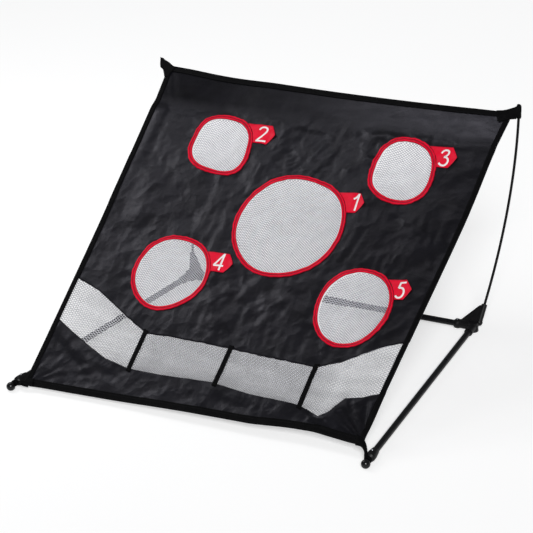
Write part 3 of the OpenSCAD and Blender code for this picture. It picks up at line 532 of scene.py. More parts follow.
def on_plane(across, slope, out):
    """A point of the flat leaning plane, as rows of x, y and z."""
    y = FRONT_Y + SHEET_FRONT + slope * math.cos(SLOPE_ANGLE) - out * math.sin(SLOPE_ANGLE)
    z = SHEET_LIFT + slope * math.sin(SLOPE_ANGLE) + out * math.cos(SLOPE_ANGLE)
    return np.stack([across + 0 * y, y, z], axis=-1)


def on_cloth(across, slope, out):
    """A point on the creased cloth."""
    return on_plane(across, slope, off_plane(across, slope) + out)


def on_sheet(across, slope, out):
    """A point of the straight cut, on the creased cloth."""
    return on_cloth(flared(across, slope), slope, out)


middle = off_plane(np.zeros(5), np.linspace(0.1, 0.9, 5))
print("cloth off the plane up its middle, in mm:", [round(1000 * float(height), 1) for height in middle])

# %% [markdown]
# ## Turning flat patterns into cloth
# A sewing pattern is flat, so each sewn piece starts as a flat grid in `across` and `slope`.
# `slab` lifts it on to the surface twice, once for each face of the cloth, and closes the rim.
# The pattern's own coordinates stay with the mesh as its UV map, in metres, so that weave and
# stitches keep their real size.

# %% Helpers that make meshes
SHEET_LOW, SHEET_HIGH = -0.6 * MM, 0.6 * MM
TRIM_LOW, TRIM_HIGH = 1.1 * MM, 2.6 * MM


def piece(name, points, faces, uvs, material, body="root", replaces=()):
    """Makes a smooth mesh object with a UV for each point, riding on a body."""
    mesh = bpy.data.meshes.new(name)
    mesh.from_pydata([tuple(p) for p in points], [], [tuple(int(i) for i in f) for f in faces])
    layer = mesh.uv_layers.new(name="pattern")
    corners = np.empty(len(mesh.loops), dtype=np.int32)
    mesh.loops.foreach_get("vertex_index", corners)
    layer.data.foreach_set("uv", np.asarray(uvs, dtype=np.float32)[corners].ravel())
    mesh.polygons.foreach_set("use_smooth", [True] * len(mesh.polygons))
    mesh.materials.append(material)
    mesh.validate()
    obj = bpy.data.objects.new(name, mesh)
    bpy.context.scene.collection.objects.link(obj)
    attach(obj, body)
    if replaces:
        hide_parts(*replaces)
    return obj


# %% Layers of cloth


def rim(faces, count):
    """The directed edges that only one face uses."""
    faces = np.asarray(faces)
    a, b = faces.ravel(), np.roll(faces, -1, axis=1).ravel()
    alone = ~np.isin(a * count + b, b * count + a)
    return np.stack([a[alone], b[alone]], axis=1)


def slab_parts(flat, faces, low, high, place):
    """Points and faces of a closed layer between two heights over a flat pattern."""
    count = len(flat)
    top = place(flat[:, 0], flat[:, 1], high + 0 * flat[:, 0])
    under = place(flat[:, 0], flat[:, 1], low + 0 * flat[:, 0])
    sides = [(a, a + count, b + count, b) for a, b in rim(faces, count)]
    turned = [tuple(i + count for i in reversed(f)) for f in faces.tolist()]
    return np.vstack([top, under]), [tuple(f) for f in faces.tolist()] + turned + sides


def slab(name, flat, faces, low, high, material, uvs=None, replaces=(), place=on_sheet):
    """A closed layer as a piece, with the flat pattern as the UVs of both its faces."""
    points, all_faces = slab_parts(flat, faces, low, high, place)
    uvs = flat if uvs is None else uvs
    return piece(name, points, all_faces, np.vstack([uvs, uvs]), material, replaces=replaces)


print("a square's rim has", len(rim(np.array([[0, 1, 2, 3]]), 4)), "edges")

# %% Grids and cut-outs


def quads_of(columns, rows):
    """The quads of a grid whose points run up each column in turn."""
    i, j = np.meshgrid(np.arange(columns), np.arange(rows), indexing="ij")
    first = (i * (rows + 1) + j).ravel()
    return np.stack([first, first + rows + 1, first + rows + 2, first + 1], axis=1)


def grid(low, high, start, end, step, rows):
    """A pattern of quads between two edges, which are functions of across."""
    columns = max(2, int(round((end - start) / step)) + 1)
    a, t = np.meshgrid(np.linspace(start, end, columns), np.linspace(0, 1, rows + 1), indexing="ij")
    slope = low(a) + (high(a) - low(a)) * t
    return np.stack([a.ravel(), slope.ravel()], axis=1), quads_of(columns - 1, rows)


def cut_out(flat, quads, hole, outside, reach=9 * MM):
    """Drops the quads inside a hole and pulls the new rim on to the hole's own line."""
    limit = 1 + outside / hole.radius
    share = hole.share(flat)
    keep = quads[share[quads].mean(axis=1) >= limit]
    edge = np.unique(rim(keep, len(flat)))
    edge = edge[np.abs(share[edge] - limit) < reach / hole.radius]
    flat = flat.copy()
    flat[edge] = hole.centre + (flat[edge] - hole.centre) * (limit / share[edge])[:, None]
    return flat, keep


def used_only(flat, faces):
    """Drops the points that no face uses."""
    used, faces = np.unique(faces, return_inverse=True)
    return flat[used], faces.reshape(-1, 4)


print("a grid of 3 by 2 has", len(quads_of(3, 2)), "quads")

# %% [markdown]
# ## Finish: woven polyester
# The sheet is 210-denier polyester, plain woven, calendered and dyed black. Calendering presses
# the threads flat, so the cloth shines where it tilts towards a lamp. The finest creases are
# bumps: flat-sided dents like those of crushed paper, with thin ridges between them. Below the
# top hem the cloth is pulled so tight that its dents are shallow, and its polish grows from left
# to right. The weave is finer than a pixel from a few steps away, so it is drawn at four times
# its real spacing, and only as a slight bump.

# %% Axes and waves


def pattern_axes(tree):
    """The pattern's place, and its across and slope coordinates, in metres."""
    place = add(tree, "ShaderNodeTexCoord").outputs["UV"]
    split = add(tree, "ShaderNodeSeparateXYZ", {0: place})
    return place, split.outputs["X"], split.outputs["Y"]


def ribs(tree, axis, spacing):
    """A wave of the given spacing in metres, from -1 to 1."""
    phase = add(tree, "ShaderNodeMath", {0: axis, 1: 2 * math.pi / spacing}, operation="MULTIPLY")
    return add(tree, "ShaderNodeMath", {0: phase}, operation="SINE")


def ridges(tree, place, size):
    """Sharp crests where noise crosses its middle, from 0 to 1."""
    hills = add(tree, "ShaderNodeTexNoise", {"Vector": place, "Scale": 1 / size, "Detail": 2.0})
    centred = add(tree, "ShaderNodeMath", {0: hills, 1: 0.5}, operation="SUBTRACT")
    offset = add(tree, "ShaderNodeMath", {0: centred}, operation="ABSOLUTE")
    steep = add(tree, "ShaderNodeMath", {0: offset, 1: 4.0}, operation="MULTIPLY")
    return add(tree, "ShaderNodeMath", {0: 1.0, 1: steep}, operation="SUBTRACT")


def facets(tree, place, size):
    """Flat-sided dents about size across, like paper that was crushed and smoothed again."""
    drift = add(tree, "ShaderNodeTexNoise", {"Vector": place, "Scale": 0.8 / size, "Detail": 2.0})
    shift = {0: drift.outputs["Color"], "Scale": 0.7 * size}
    shift = add(tree, "ShaderNodeVectorMath", shift, operation="SCALE")
    bent = add(tree, "ShaderNodeVectorMath", {0: place, 1: shift}, operation="ADD")
    return add(tree, "ShaderNodeTexVoronoi", {"Vector": bent, "Scale": 1 / size}, voronoi_dimensions="2D")


# %% Wandering values, relief and surface
# The inputs of a MapRange are the value (0), the range it comes from (1, 2) and the range it goes
# to (3, 4). A Mix takes its factor (0), two values (2, 3) or two colours (6, 7).


def uneven(tree, place, size, low, high, detail=3.0):
    """A value that wanders from low to high in patches about size across."""
    patches = add(tree, "ShaderNodeTexNoise", {"Vector": place, "Scale": 1 / size, "Detail": detail})
    return add(tree, "ShaderNodeMapRange", {0: patches, 1: 0.3, 2: 0.7, 3: low, 4: high})


def mottled(tree, place, size, dark, light):
    """A colour that wanders between two hex colours in patches about size across."""
    patches = add(tree, "ShaderNodeTexNoise", {"Vector": place, "Scale": 1 / size, "Detail": 3.0})
    tones = add(tree, "ShaderNodeValToRGB", {0: patches})
    for stop, position, colour in zip(tones.color_ramp.elements, (0.3, 0.7), (dark, light)):
        stop.position = position
        stop.color = linear(colour)
    return tones


def relief(tree, *layers):
    """Bumps laid on each other. Each layer is a height, as a node, and its depth in metres."""
    normal = None
    for height, depth in layers:
        below = {"Normal": normal} if normal else {}
        normal = add(tree, "ShaderNodeBump", {"Height": height, "Distance": depth, "Strength": 1.0, **below})
    return normal


def surface(tree, inputs):
    """Ends a material with one surface shader."""
    shader = add(tree, "ShaderNodeBsdfPrincipled", inputs)
    add(tree, "ShaderNodeOutputMaterial", {"Surface": shader})


# %% Cloth material
THREAD_SPACING = 0.3 * MM
DRAWN_THREAD = 4 * THREAD_SPACING
BAND_FROM, CALM_TO, GLOSSY_TO = 865 * MM, 905 * MM, 915 * MM


def pressed_polish(tree, a, b):
    """How much the cloth mirrors. In the band below the top hem it grows from left to right."""
    rightward = add(tree, "ShaderNodeMapRange", {0: a, 1: -0.45, 2: 0.45, 3: 0.0, 4: 1.0})
    late = add(tree, "ShaderNodeMath", {0: rightward, 1: 2.2}, operation="POWER")
    band = add(tree, "ShaderNodeMapRange", {0: late, 1: 0.0, 2: 1.0, 3: 0.08, 4: 1.0})
    body = add(tree, "ShaderNodeMapRange", {0: a, 1: 0.15, 2: 0.45, 3: 0.34, 4: 0.24})
    in_band = add(tree, "ShaderNodeMapRange", {0: b, 1: BAND_FROM, 2: GLOSSY_TO, 3: 0.0, 4: 1.0})
    return add(tree, "ShaderNodeMix", {0: in_band, 2: body, 3: band})


def woven_polyester():
    """Black cloth whose dents mirror the lamps, and whose colour hardly changes."""
    material, tree = fresh_tree("woven_polyester_black")
    place, a, b = pattern_axes(tree)
    calm = add(tree, "ShaderNodeMapRange", {0: b, 1: BAND_FROM, 2: CALM_TO, 3: 1.0, 4: 0.3})
    dents, small_dents = facets(tree, place, 64 * MM), facets(tree, place, 26 * MM)
    folds = ridges(tree, place, 52 * MM)
    calmed = [(add(tree, "ShaderNodeMath", {0: height, 1: calm}, operation="MULTIPLY"), depth)
              for height, depth in ((dents, 3.4 * MM), (small_dents, 0.7 * MM), (folds, 0.7 * MM))]
    crinkle = add(tree, "ShaderNodeTexNoise", {
        "Vector": place, "Scale": 1 / (9 * MM), "Detail": 3.0, "Roughness": 0.6})
    threads = {0: ribs(tree, a, DRAWN_THREAD), 1: ribs(tree, b, DRAWN_THREAD)}
    weave = add(tree, "ShaderNodeMath", threads, operation="MULTIPLY")
    surface(tree, {
        "Base Color": mottled(tree, place, 60 * MM, "#08080a", "#0e0e12"),
        "Roughness": uneven(tree, place, 45 * MM, 0.33, 0.43),
        "Normal": relief(tree, *calmed, (crinkle, 0.12 * MM), (weave, 0.02 * MM)),
        "Specular IOR Level": pressed_polish(tree, a, b), "Specular Tint": linear("#ece9fb")})
    return material


POLYESTER = woven_polyester()
print("cloth:", POLYESTER.name, "with", len(POLYESTER.node_tree.nodes), "nodes")

# %% [markdown]
# ## Target panel
# This is one cut of cloth with five round holes. Here it is a fine grid, about 5 mm to a cell,
# from the trough's upper edge to the top edge. Cells inside a hole are dropped, and the ragged
# rim is pulled on to the hole's line, where the binding will cover it.

# %% Target panel
CELL = 5 * MM
PANEL_ROWS = 160
HOLE_HEM = 4 * MM
flat, quads = grid(trough_head, top_edge, -HALF_WIDTH, HALF_WIDTH, CELL, PANEL_ROWS)
for hole in HOLES:
    flat, quads = cut_out(flat, quads, hole, HOLE_HEM)
flat, quads = used_only(flat, quads)
panel = slab("panel_cloth", flat, quads, SHEET_LOW, SHEET_HIGH, POLYESTER,
             replaces=("target_panel",))

# %% [markdown]
# ## Lower lip
# The cloth below the trough is a second cut. Its right end hangs slack, so the trough's lower
# edge drops there in a V, and the cloth bunches towards the corner.

# %% Lower lip
LIP_CELL = 4 * MM
LIP_ROWS = 36
flat, quads = grid(bottom_edge, trough_foot, -HALF_WIDTH, HALF_WIDTH, LIP_CELL, LIP_ROWS)
lip = slab("lip_cloth", flat, quads, SHEET_LOW, SHEET_HIGH, POLYESTER, replaces=("lower_lip",))

# %% [markdown]
# ## Finish: woven tape
# Hems, straps and dividers are black polypropylene tape, ribbed across its length and sewn down
# with two rows of lock stitch. Its coarse ribs scatter the light, so it looks duller than the
# cloth. The red binding is folded polyester tape with one row of stitches sunk along its middle,
# so each ring shows two rolls with a line between. Shade is painted into the binding's colour,
# dark along that line and along both its edges.

# %% Stitches
STITCH = 4 * MM
STITCH_INSET = 3 * MM
STITCH_HALF = 0.4 * MM


def from_row(tree, b, width, inset):
    """The distance from the nearest of two lines that run inset from a tape's edges."""
    from_middle = add(tree, "ShaderNodeMath", {0: b, 1: width / 2}, operation="SUBTRACT")
    aside = add(tree, "ShaderNodeMath", {0: from_middle}, operation="ABSOLUTE")
    from_edge = add(tree, "ShaderNodeMath", {0: width / 2, 1: aside}, operation="SUBTRACT")
    offset = add(tree, "ShaderNodeMath", {0: from_edge, 1: inset}, operation="SUBTRACT")
    return add(tree, "ShaderNodeMath", {0: offset}, operation="ABSOLUTE")


def stitch_mask(tree, a, b, width, inset):
    """1 on the threads of lock stitch that run inset from a tape's edges, and 0 elsewhere."""
    row = from_row(tree, b, width, inset)
    on_row = add(tree, "ShaderNodeMath", {0: row, 1: STITCH_HALF}, operation="LESS_THAN")
    dash = add(tree, "ShaderNodeMath", {0: ribs(tree, a, STITCH), 1: -0.45}, operation="GREATER_THAN")
    return add(tree, "ShaderNodeMath", {0: on_row, 1: dash}, operation="MULTIPLY")


# %% Tape materials
TOP_HEM, BOTTOM_HEM = 17 * MM, 20 * MM
BINDING_WIDTH = 13.7 * MM


def black_tape(name, width):
    """Dull ribbed webbing, with stitches a shade lighter than the tape."""
    material, tree = fresh_tree(name)
    place, a, b = pattern_axes(tree)
    stitches = stitch_mask(tree, a, b, width, STITCH_INSET)
    base = mottled(tree, place, 25 * MM, "#060607", "#0b0b0c")
    sewn = add(tree, "ShaderNodeMix", {0: stitches, 6: base, 7: linear("#17171a")}, data_type="RGBA")
    soft = add(tree, "ShaderNodeTexNoise", {"Vector": place, "Scale": 1 / (12 * MM), "Detail": 3.0})
    normal = relief(tree, (soft, 0.9 * MM), (ribs(tree, a, 1.6 * MM), 0.08 * MM), (stitches, 0.2 * MM))
    surface(tree, {
        "Base Color": sewn.outputs[2], "Roughness": 0.6, "Normal": normal, "Specular IOR Level": 0.05})
    return material


def red_tape(name, width):
    """Bright folded tape, with painted shade along its stitch line and along both its edges."""
    material, tree = fresh_tree(name)
    place, a, b = pattern_axes(tree)
    middle_row, edge_row = from_row(tree, b, width, width / 2), from_row(tree, b, width, 0.0)
    # Painted shade: the tape's colour is darkened towards #7c0116 along its stitch line and along both its
    # edges.
    painted_groove_shade = add(tree, "ShaderNodeMapRange", {0: middle_row, 1: 0.9 * MM, 2: 2.6 * MM, 3: 0.9, 4: 0.0})
    outside = add(tree, "ShaderNodeMapRange", {0: edge_row, 1: 0.3 * MM, 2: 1.6 * MM, 3: 0.7, 4: 0.0})
    shaded = add(tree, "ShaderNodeMath", {0: painted_groove_shade, 1: outside}, operation="MAXIMUM")
    base = mottled(tree, place, 18 * MM, "#cc0626", "#e80d33")
    shade_painted_tape = add(tree, "ShaderNodeMix", {0: shaded, 6: base, 7: linear("#7c0116")}, data_type="RGBA")
    stitches = stitch_mask(tree, a, b, width, width / 2)
    sewn = add(tree, "ShaderNodeMix", {
        0: stitches, 6: shade_painted_tape.outputs[2], 7: linear("#c4324a")}, data_type="RGBA")
    soft = add(tree, "ShaderNodeTexNoise", {"Vector": place, "Scale": 1 / (9 * MM), "Detail": 3.0})
    surface(tree, {
        "Base Color": sewn.outputs[2], "Roughness": 0.42,
        "Normal": relief(tree, (soft, 0.7 * MM), (ribs(tree, a, 1.2 * MM), 0.06 * MM)),
        "Specular IOR Level": 0.22, "Specular Tint": linear("#ffb8c2")})
    return material


HEM_TAPE = black_tape("polypropylene_tape_black", TOP_HEM)
BINDING_TAPE = red_tape("binding_tape_red", BINDING_WIDTH)
print("tapes:", HEM_TAPE.name, "and", BINDING_TAPE.name)

# %% [markdown]
# ## Hems, side straps and dividers
# Each is a long narrow grid on top of the sheet. The pattern's UVs run along the tape in one
# direction and across it in the other, so the stitch rows follow the edges.

# %% Hems, straps and dividers
SEAM_GAP = 0.5 * MM
NET_BORDER = 9 * MM
TAPE_CELL = 4 * MM
DIVIDERS = {"left": -0.218, "middle": 0.038, "right": 0.287}
DIVIDER_WIDTH = 13 * MM


def tape(name, low, high, rows, node):
    """A hem along the across direction, from strap to strap, between two edges."""
    flat, quads = grid(low, high, -STRAP_INNER, STRAP_INNER, TAPE_CELL, rows)
    uvs = np.stack([flat[:, 0], flat[:, 1] - low(flat[:, 0])], axis=1)
    return slab(name, flat, quads, TRIM_LOW, TRIM_HIGH, HEM_TAPE, uvs, replaces=(node,))


def upright_tape(name, low, high, start, end, node):
    """A strip up the slope. Its UVs are turned, so that the ribs cross it."""
    middle = (start + end) / 2
    rows = int((high(middle) - low(middle)) / TAPE_CELL)
    flat, quads = grid(low, high, start, end, (end - start) / 5, rows)
    uvs = np.stack([flat[:, 1], flat[:, 0] - start], axis=1)
    return slab(name, flat, quads, TRIM_LOW, TRIM_HIGH, HEM_TAPE, uvs, replaces=(node,))


def bay_foot(across):
    """The trough's lower edge, with the strip of net that is sewn down below it."""
    return trough_foot(across) - NET_BORDER


def bay_head(across):
    """The trough's upper edge, with the strip of net that is sewn down above it."""
    return trough_head(across) + NET_BORDER


trims = [
    tape("hem_top", lambda a: top_edge(a) - TOP_HEM, top_edge, 6, "top_hem"),
    tape("hem_bottom", bottom_edge, lambda a: bottom_edge(a) + BOTTOM_HEM, 8, "bottom_hem"),
]
for side, sign in (("left", -1), ("right", 1)):
    start, end = sorted((sign * (STRAP_INNER + SEAM_GAP), sign * HALF_WIDTH))
    trims.append(upright_tape(f"strap_{side}", bottom_edge, top_edge, start, end, f"side_strap_{side}"))
for name, at in DIVIDERS.items():
    start, end = at - DIVIDER_WIDTH / 2, at + DIVIDER_WIDTH / 2
    trims.append(upright_tape(f"divider_{name}", bay_foot, bay_head, start, end, f"divider_strap_{name}"))
print("trims:", len(trims))

# %% [markdown]
# ## Ring bindings
# A folded tape is sewn round each hole. Its section has two soft rolls with the stitch line
# between them, and the sewing leaves the ring slightly uneven in width and height.

# %% Ring bindings
ROLL = [  # the tape's section, as shares of its width and of its height
    (0.0, 0.15), (0.05, 0.75), (0.14, 0.96), (0.24, 1.0), (0.36, 0.84), (0.45, 0.50), (0.5, 0.38),
    (0.55, 0.50), (0.64, 0.84), (0.76, 1.0), (0.86, 0.94), (0.95, 0.7), (1.0, 0.15), (1.0, 0.0),
    (0.0, 0.0)]
BINDING_HEIGHT = 2.6 * MM
RING_STEPS = 180


def loop_faces(rows, steps):
    """The quads of a closed ring: rows of points that each go once round."""
    r, k = np.meshgrid(np.arange(rows), np.arange(steps), indexing="ij")
    here, up = (k + 1) % steps, (r + 1) % rows
    corners = [r * steps + k, up * steps + k, up * steps + here, r * steps + here]
    return np.stack(corners, axis=-1).reshape(-1, 4)


def ring_binding(hole):
    """The folded tape round one hole, a little uneven in width and height."""
    angles = np.linspace(0, 2 * math.pi, RING_STEPS, endpoint=False)
    hand_sewn = 0.14 * noise(angles * 4, 0 * angles + hole.number * 3.1, 7)
    uneven_share = 1 + hand_sewn + 0.03 * np.sin(angles * 37)
    points, uvs = [], []
    for across_share, height_share in ROLL:
        line = hole.rim_point(angles, hole.binding * across_share * uneven_share)
        height = TRIM_LOW + BINDING_HEIGHT * height_share * uneven_share
        points.append(on_cloth(line[:, 0], line[:, 1], height))
        across_tape = np.full(RING_STEPS, BINDING_WIDTH * across_share)
        uvs.append(np.stack([angles * hole.radius, across_tape], axis=1))
    return piece(f"ring_{hole.number}", np.vstack(points), loop_faces(len(ROLL), RING_STEPS), np.vstack(uvs),
                 BINDING_TAPE, replaces=(f"ring_binding_{hole.number}",))


rings = [ring_binding(hole) for hole in HOLES]
print("ring bindings:", len(rings))

# %% [markdown]
# ## Finish: printed satin
# The number tags are red satin with plain white numerals printed on them. Satin has a smooth
# face and long floating threads, so it shines more than the tape beside it.

# %% Tag materials


def printed_satin(name, dark, light, roughness, tint):
    """Smooth satin, or the ink on it: soft ripples and very fine ribs."""
    material, tree = fresh_tree(name)
    place, a, b = pattern_axes(tree)
    soft = add(tree, "ShaderNodeTexNoise", {
        "Vector": place, "Scale": 1 / (16 * MM), "Detail": 3.0, "Roughness": 0.6})
    surface(tree, {
        "Base Color": mottled(tree, place, 22 * MM, dark, light), "Roughness": roughness,
        "Normal": relief(tree, (soft, 1.0 * MM), (ribs(tree, b, 1.0 * MM), 0.02 * MM)),
        "Specular IOR Level": 0.35, "Specular Tint": linear(tint)})
    return material


SATIN_RED = printed_satin("printed_satin_red", "#d60328", "#e60d33", 0.42, "#ffb8c2")
SATIN_WHITE = printed_satin("screen_ink_white", "#efe9ea", "#fbf8f8", 0.5, "#ffffff")
print("tag finishes:", SATIN_RED.name, "and", SATIN_WHITE.name)

# %% [markdown]
# ## Number tags
# Each tag is a pennant sewn to the right of its ring, a little above the middle, and it points
# away from the hole. Its tip curls up from the cloth. The numeral is drawn as strokes of even
# width, in millimetres about the numeral's own middle.

# %% Tag patterns
TAG_POINT = 19 * MM
TIP_CURL, CURL_LENGTH = 3.5 * MM, 20 * MM
TAG_SEAM = 0.4 * MM


def tag_place(hole, local):
    """Points given in the tag's own axes, from its tip, as across and slope."""
    c, s = math.cos(hole.tag_turn), math.sin(hole.tag_turn)
    x, y = local[..., 0], local[..., 1]
    return hole.tag_tip + np.stack([c * x - s * y, s * x + c * y], axis=-1)


def tag_surface(hole):
    """A place function that lifts the pennant's pointed end off the cloth."""

    def curled(across, slope, out):
        far = np.hypot(across - hole.tag_tip[0], slope - hole.tag_tip[1])
        return on_cloth(across, slope, out + TIP_CURL * np.clip(1 - far / CURL_LENGTH, 0, 1) ** 1.5)

    return curled


def tag_pattern(hole):
    """The pennant as a grid from the ring's outer edge to its pointed end."""
    rows, columns = 16, 22
    share = np.linspace(-1, 1, rows + 1)
    y = share * hole.tag_height / 2
    angles = np.linspace(-math.pi / 2, math.pi / 2, 361)
    edge = hole.rim_point(angles, hole.binding + TAG_SEAM) - hole.tag_tip
    c, s = math.cos(hole.tag_turn), math.sin(hole.tag_turn)
    edge_x, edge_y = c * edge[:, 0] + s * edge[:, 1], c * edge[:, 1] - s * edge[:, 0]
    start = np.interp(y, edge_y, edge_x)
    end = -TAG_POINT * np.abs(share) ** 1.05
    t = np.linspace(0, 1, columns + 1)
    x = start[:, None] + (end - start)[:, None] * t[None, :]
    flat = tag_place(hole, np.stack([x, np.repeat(y[:, None], columns + 1, axis=1)], axis=-1))
    return flat.reshape(-1, 2), quads_of(rows, columns)[:, ::-1]


# %% Numerals
NUMERAL_STROKE = 5.3
NUMERAL_STEP = 1.5
INK_LOW, INK_HIGH = TRIM_HIGH + 0.05 * MM, TRIM_HIGH + 0.25 * MM
INK_LAYER = 0.06 * MM
NUMERALS = {  # strokes of a pen; "smooth" strokes are rounded
    1: [("smooth", [(-6.4, 9.4), (-1.5, 12), (3, 18.5), (5.8, 24.6)]),
        ("straight", [(5.7, 25.2), (5.4, -25.4)])],
    2: [("smooth", [(-14.5, 12.5), (-11.5, 19.5), (-3, 22.8), (6, 20.5), (9.8, 13.5), (7, 5), (0.5, -5),
                    (-7, -15), (-11.5, -22.3)]),
        ("straight", [(-13.6, -22.2), (15.5, -20.8)])],
    3: [("smooth", [(-12, 12.5), (-8.75, 20), (-1.25, 22.75), (7.5, 20), (9.5, 13.5), (5, 5), (-2.5, 1.75)]),
        ("smooth", [(-2.5, 1.6), (6.25, 0.5), (11.75, -5.75), (11.75, -14.5), (6.25, -21.5), (-1.25, -23),
                    (-9.25, -20), (-11.25, -15.75)])],
    4: [("straight", [(6.7, 25), (5.5, -25)]), ("straight", [(6.7, 23.6), (-14.6, -11.6)]),
        ("straight", [(-15, -11.3), (14.2, -11.3)])],
    5: [("straight", [(9.5, 22.3), (-7, 21)]), ("straight", [(-5.2, 22), (-8.7, 5.5)]),
        ("smooth", [(-8.5, 6.5), (-1.8, 7.4), (5.1, 3), (7.6, -7.6), (4, -18.4), (-3.1, -22.8),
                    (-10.3, -20.6), (-13.2, -15.5)])],
}


def rounded(points, rounds=3):
    """Cuts the corners of a line again and again, which leaves a smooth curve."""
    line = np.array(points, dtype=float)
    for _ in range(rounds):
        a, b = line[:-1] * 0.75 + line[1:] * 0.25, line[:-1] * 0.25 + line[1:] * 0.75
        line = np.vstack([line[:1], np.stack([a, b], axis=1).reshape(-1, 2)[1:-1], line[-1:]])
    return line


def resampled(line, count):
    """The given number of points at even steps along a line."""
    line = np.array(line, dtype=float)
    travelled = np.concatenate([[0], np.cumsum(np.linalg.norm(np.diff(line, axis=0), axis=1))])
    at = np.linspace(0, travelled[-1], count)
    return np.stack([np.interp(at, travelled, line[:, k]) for k in (0, 1)], axis=1)


def pen_line(kind, pen):
    """The points of one pen stroke, about NUMERAL_STEP apart."""
    line = rounded(pen) if kind == "smooth" else np.array(pen, dtype=float)
    length = np.linalg.norm(np.diff(line, axis=0), axis=1).sum()
    return resampled(line, max(2, int(length / NUMERAL_STEP) + 1))


def stroke(line, width):
    """A flat ribbon of even width along a line of points, as a pattern of quads."""
    lead = np.gradient(line, axis=0)
    lead /= np.linalg.norm(lead, axis=1)[:, None]
    side = np.stack([-lead[:, 1], lead[:, 0]], axis=1)
    n = len(line)
    quads = np.array([(k, k + 1, n + k + 1, n + k) for k in range(n - 1)])
    return np.vstack([line - side * width / 2, line + side * width / 2]), quads


def numeral(hole):
    """A tag's numeral in ink. Each stroke lies a hair above the last, so that none flickers."""
    points, faces, uvs = [], [], []
    for layer, (kind, pen) in enumerate(NUMERALS[hole.number]):
        local, quads = stroke(pen_line(kind, pen), NUMERAL_STROKE)
        flat = tag_place(hole, hole.numeral_at + local * MM)
        low, high = INK_LOW + INK_LAYER * layer, INK_HIGH + INK_LAYER * layer
        stroke_points, stroke_faces = slab_parts(flat, quads, low, high, tag_surface(hole))
        faces += [tuple(i + sum(map(len, points)) for i in f) for f in stroke_faces]
        points.append(stroke_points)
        uvs += [flat, flat]
    return piece(f"numeral_{hole.number}", np.vstack(points), faces, np.vstack(uvs), SATIN_WHITE)


# %% Number tags
tags, numerals = [], []
for hole in HOLES:
    flat, quads = tag_pattern(hole)
    tags.append(slab(f"tag_{hole.number}", flat, quads, TRIM_LOW, TRIM_HIGH, SATIN_RED,
                     replaces=(f"number_tag_{hole.number}",), place=tag_surface(hole)))
    numerals.append(numeral(hole))
print("number tags:", len(tags))

# %% [markdown]
# ## Finish: knitted net
# The nets are knitted from white polyester thread, with diamond openings of about 5 mm. They
# are built as real openings, so the tubes and the floor behind show through from every side. A
# knitted strand is round and its sides lie in shade. The strands here are flat, so the trough's
# net, which has the coarsest mesh, gets painted shade on the sides of its strands. A net's
# folded edge is close cloth, and looks whiter.

# %% Net material
TROUGH_PITCH = (11.0 * MM, 7.2 * MM)
# Painted shade on the sides of the trough net's strands.
PAINTED_STRAND_SHADE = "#1e1e22"


def strand_shade_mask(tree, a, b, pitch):
    """Where shade is painted: 0 at the side of a strand, next to an opening, and 1 along its crown."""
    wide, high = (add(tree, "ShaderNodeMath", {0: value, 1: size}, operation="DIVIDE")
                  for value, size in zip((a, b), pitch))
    folded = []
    for way in ("ADD", "SUBTRACT"):
        slanted = add(tree, "ShaderNodeMath", {0: wide, 1: high}, operation=way)
        shifted = add(tree, "ShaderNodeMath", {0: slanted, 1: 0.5}, operation="ADD")
        turn = add(tree, "ShaderNodeMath", {0: shifted}, operation="FRACT")
        centred = add(tree, "ShaderNodeMath", {0: turn, 1: 0.5}, operation="SUBTRACT")
        folded.append(add(tree, "ShaderNodeMath", {0: centred}, operation="ABSOLUTE"))
    crown = add(tree, "ShaderNodeMath", {0: folded[0], 1: folded[1]}, operation="MAXIMUM")
    return add(tree, "ShaderNodeMapRange", {0: crown, 1: 0.37, 2: 0.43, 3: 0.0, 4: 1.0})


def knitted_polyester(name, dark, light, pitch=None):
    """White knitted thread. With a pitch, shade is painted on the sides of its strands."""
    material, tree = fresh_tree(name)
    place, a, b = pattern_axes(tree)
    base = mottled(tree, place, 30 * MM, dark, light)
    if pitch:
        crown = strand_shade_mask(tree, a, b, pitch)
        # Painted shade: the sides of the strands are mixed towards a near-black grey.
        painted_side_shade = {0: crown, 6: linear(PAINTED_STRAND_SHADE), 7: base}
        base = add(tree, "ShaderNodeMix", painted_side_shade, data_type="RGBA").outputs[2]
    fibres = add(tree, "ShaderNodeTexNoise", {"Vector": place, "Scale": 1 / (1.2 * MM), "Detail": 3.0})
    surface(tree, {
        "Base Color": base, "Roughness": 0.62, "Normal": relief(tree, (fibres, 0.15 * MM)),
        "Specular IOR Level": 0.3})
    return material


# The pockets' thread is light grey, darker than the same white thread in the trough and the selvedge: painted
# shade.
POCKET_NET_SHADED = knitted_polyester("knitted_polyester_pocket_shaded", "#b0b0b8", "#c2c2c9")
TROUGH_NET = knitted_polyester("knitted_polyester_trough_side_shaded", "#dcdce2", "#eeeef4", TROUGH_PITCH)
SELVEDGE = knitted_polyester("net_selvedge_white", "#eceef2", "#f8f9fb")
print("net finishes:", POCKET_NET_SHADED.name, TROUGH_NET.name, SELVEDGE.name)

# %% [markdown]
# ## Net pockets and trough net
# A lattice of diamonds is laid on the flat pattern and only the cells inside the outline are
# kept. Each cell is a diamond frame: four strips round an opening. Neighbours share their outer
# corners, so the net is one connected piece. The pocket then sags behind its hole like a
# shallow bowl, and the trough's net sags all along its length. In its middle bays the trough's
# net hangs in folds, which draw some rows open and push others together. A pocket's folded
# selvedge peeps out as a thin white crescent at one side of the hole, because it was sewn in off
# centre.

# %% The lattice
POCKET_PITCH = (9.2 * MM, 6.2 * MM)
NET_OPEN = 0.67
NET_THICKNESS = 0.5 * MM
NET_HIGH = SHEET_LOW - 0.5 * MM
NET_LOW = NET_HIGH - NET_THICKNESS


def even_mesh(centres):
    """The same openness for every cell: the opening's width as a share of the cell's."""
    return NET_OPEN + 0 * centres[:, 0]


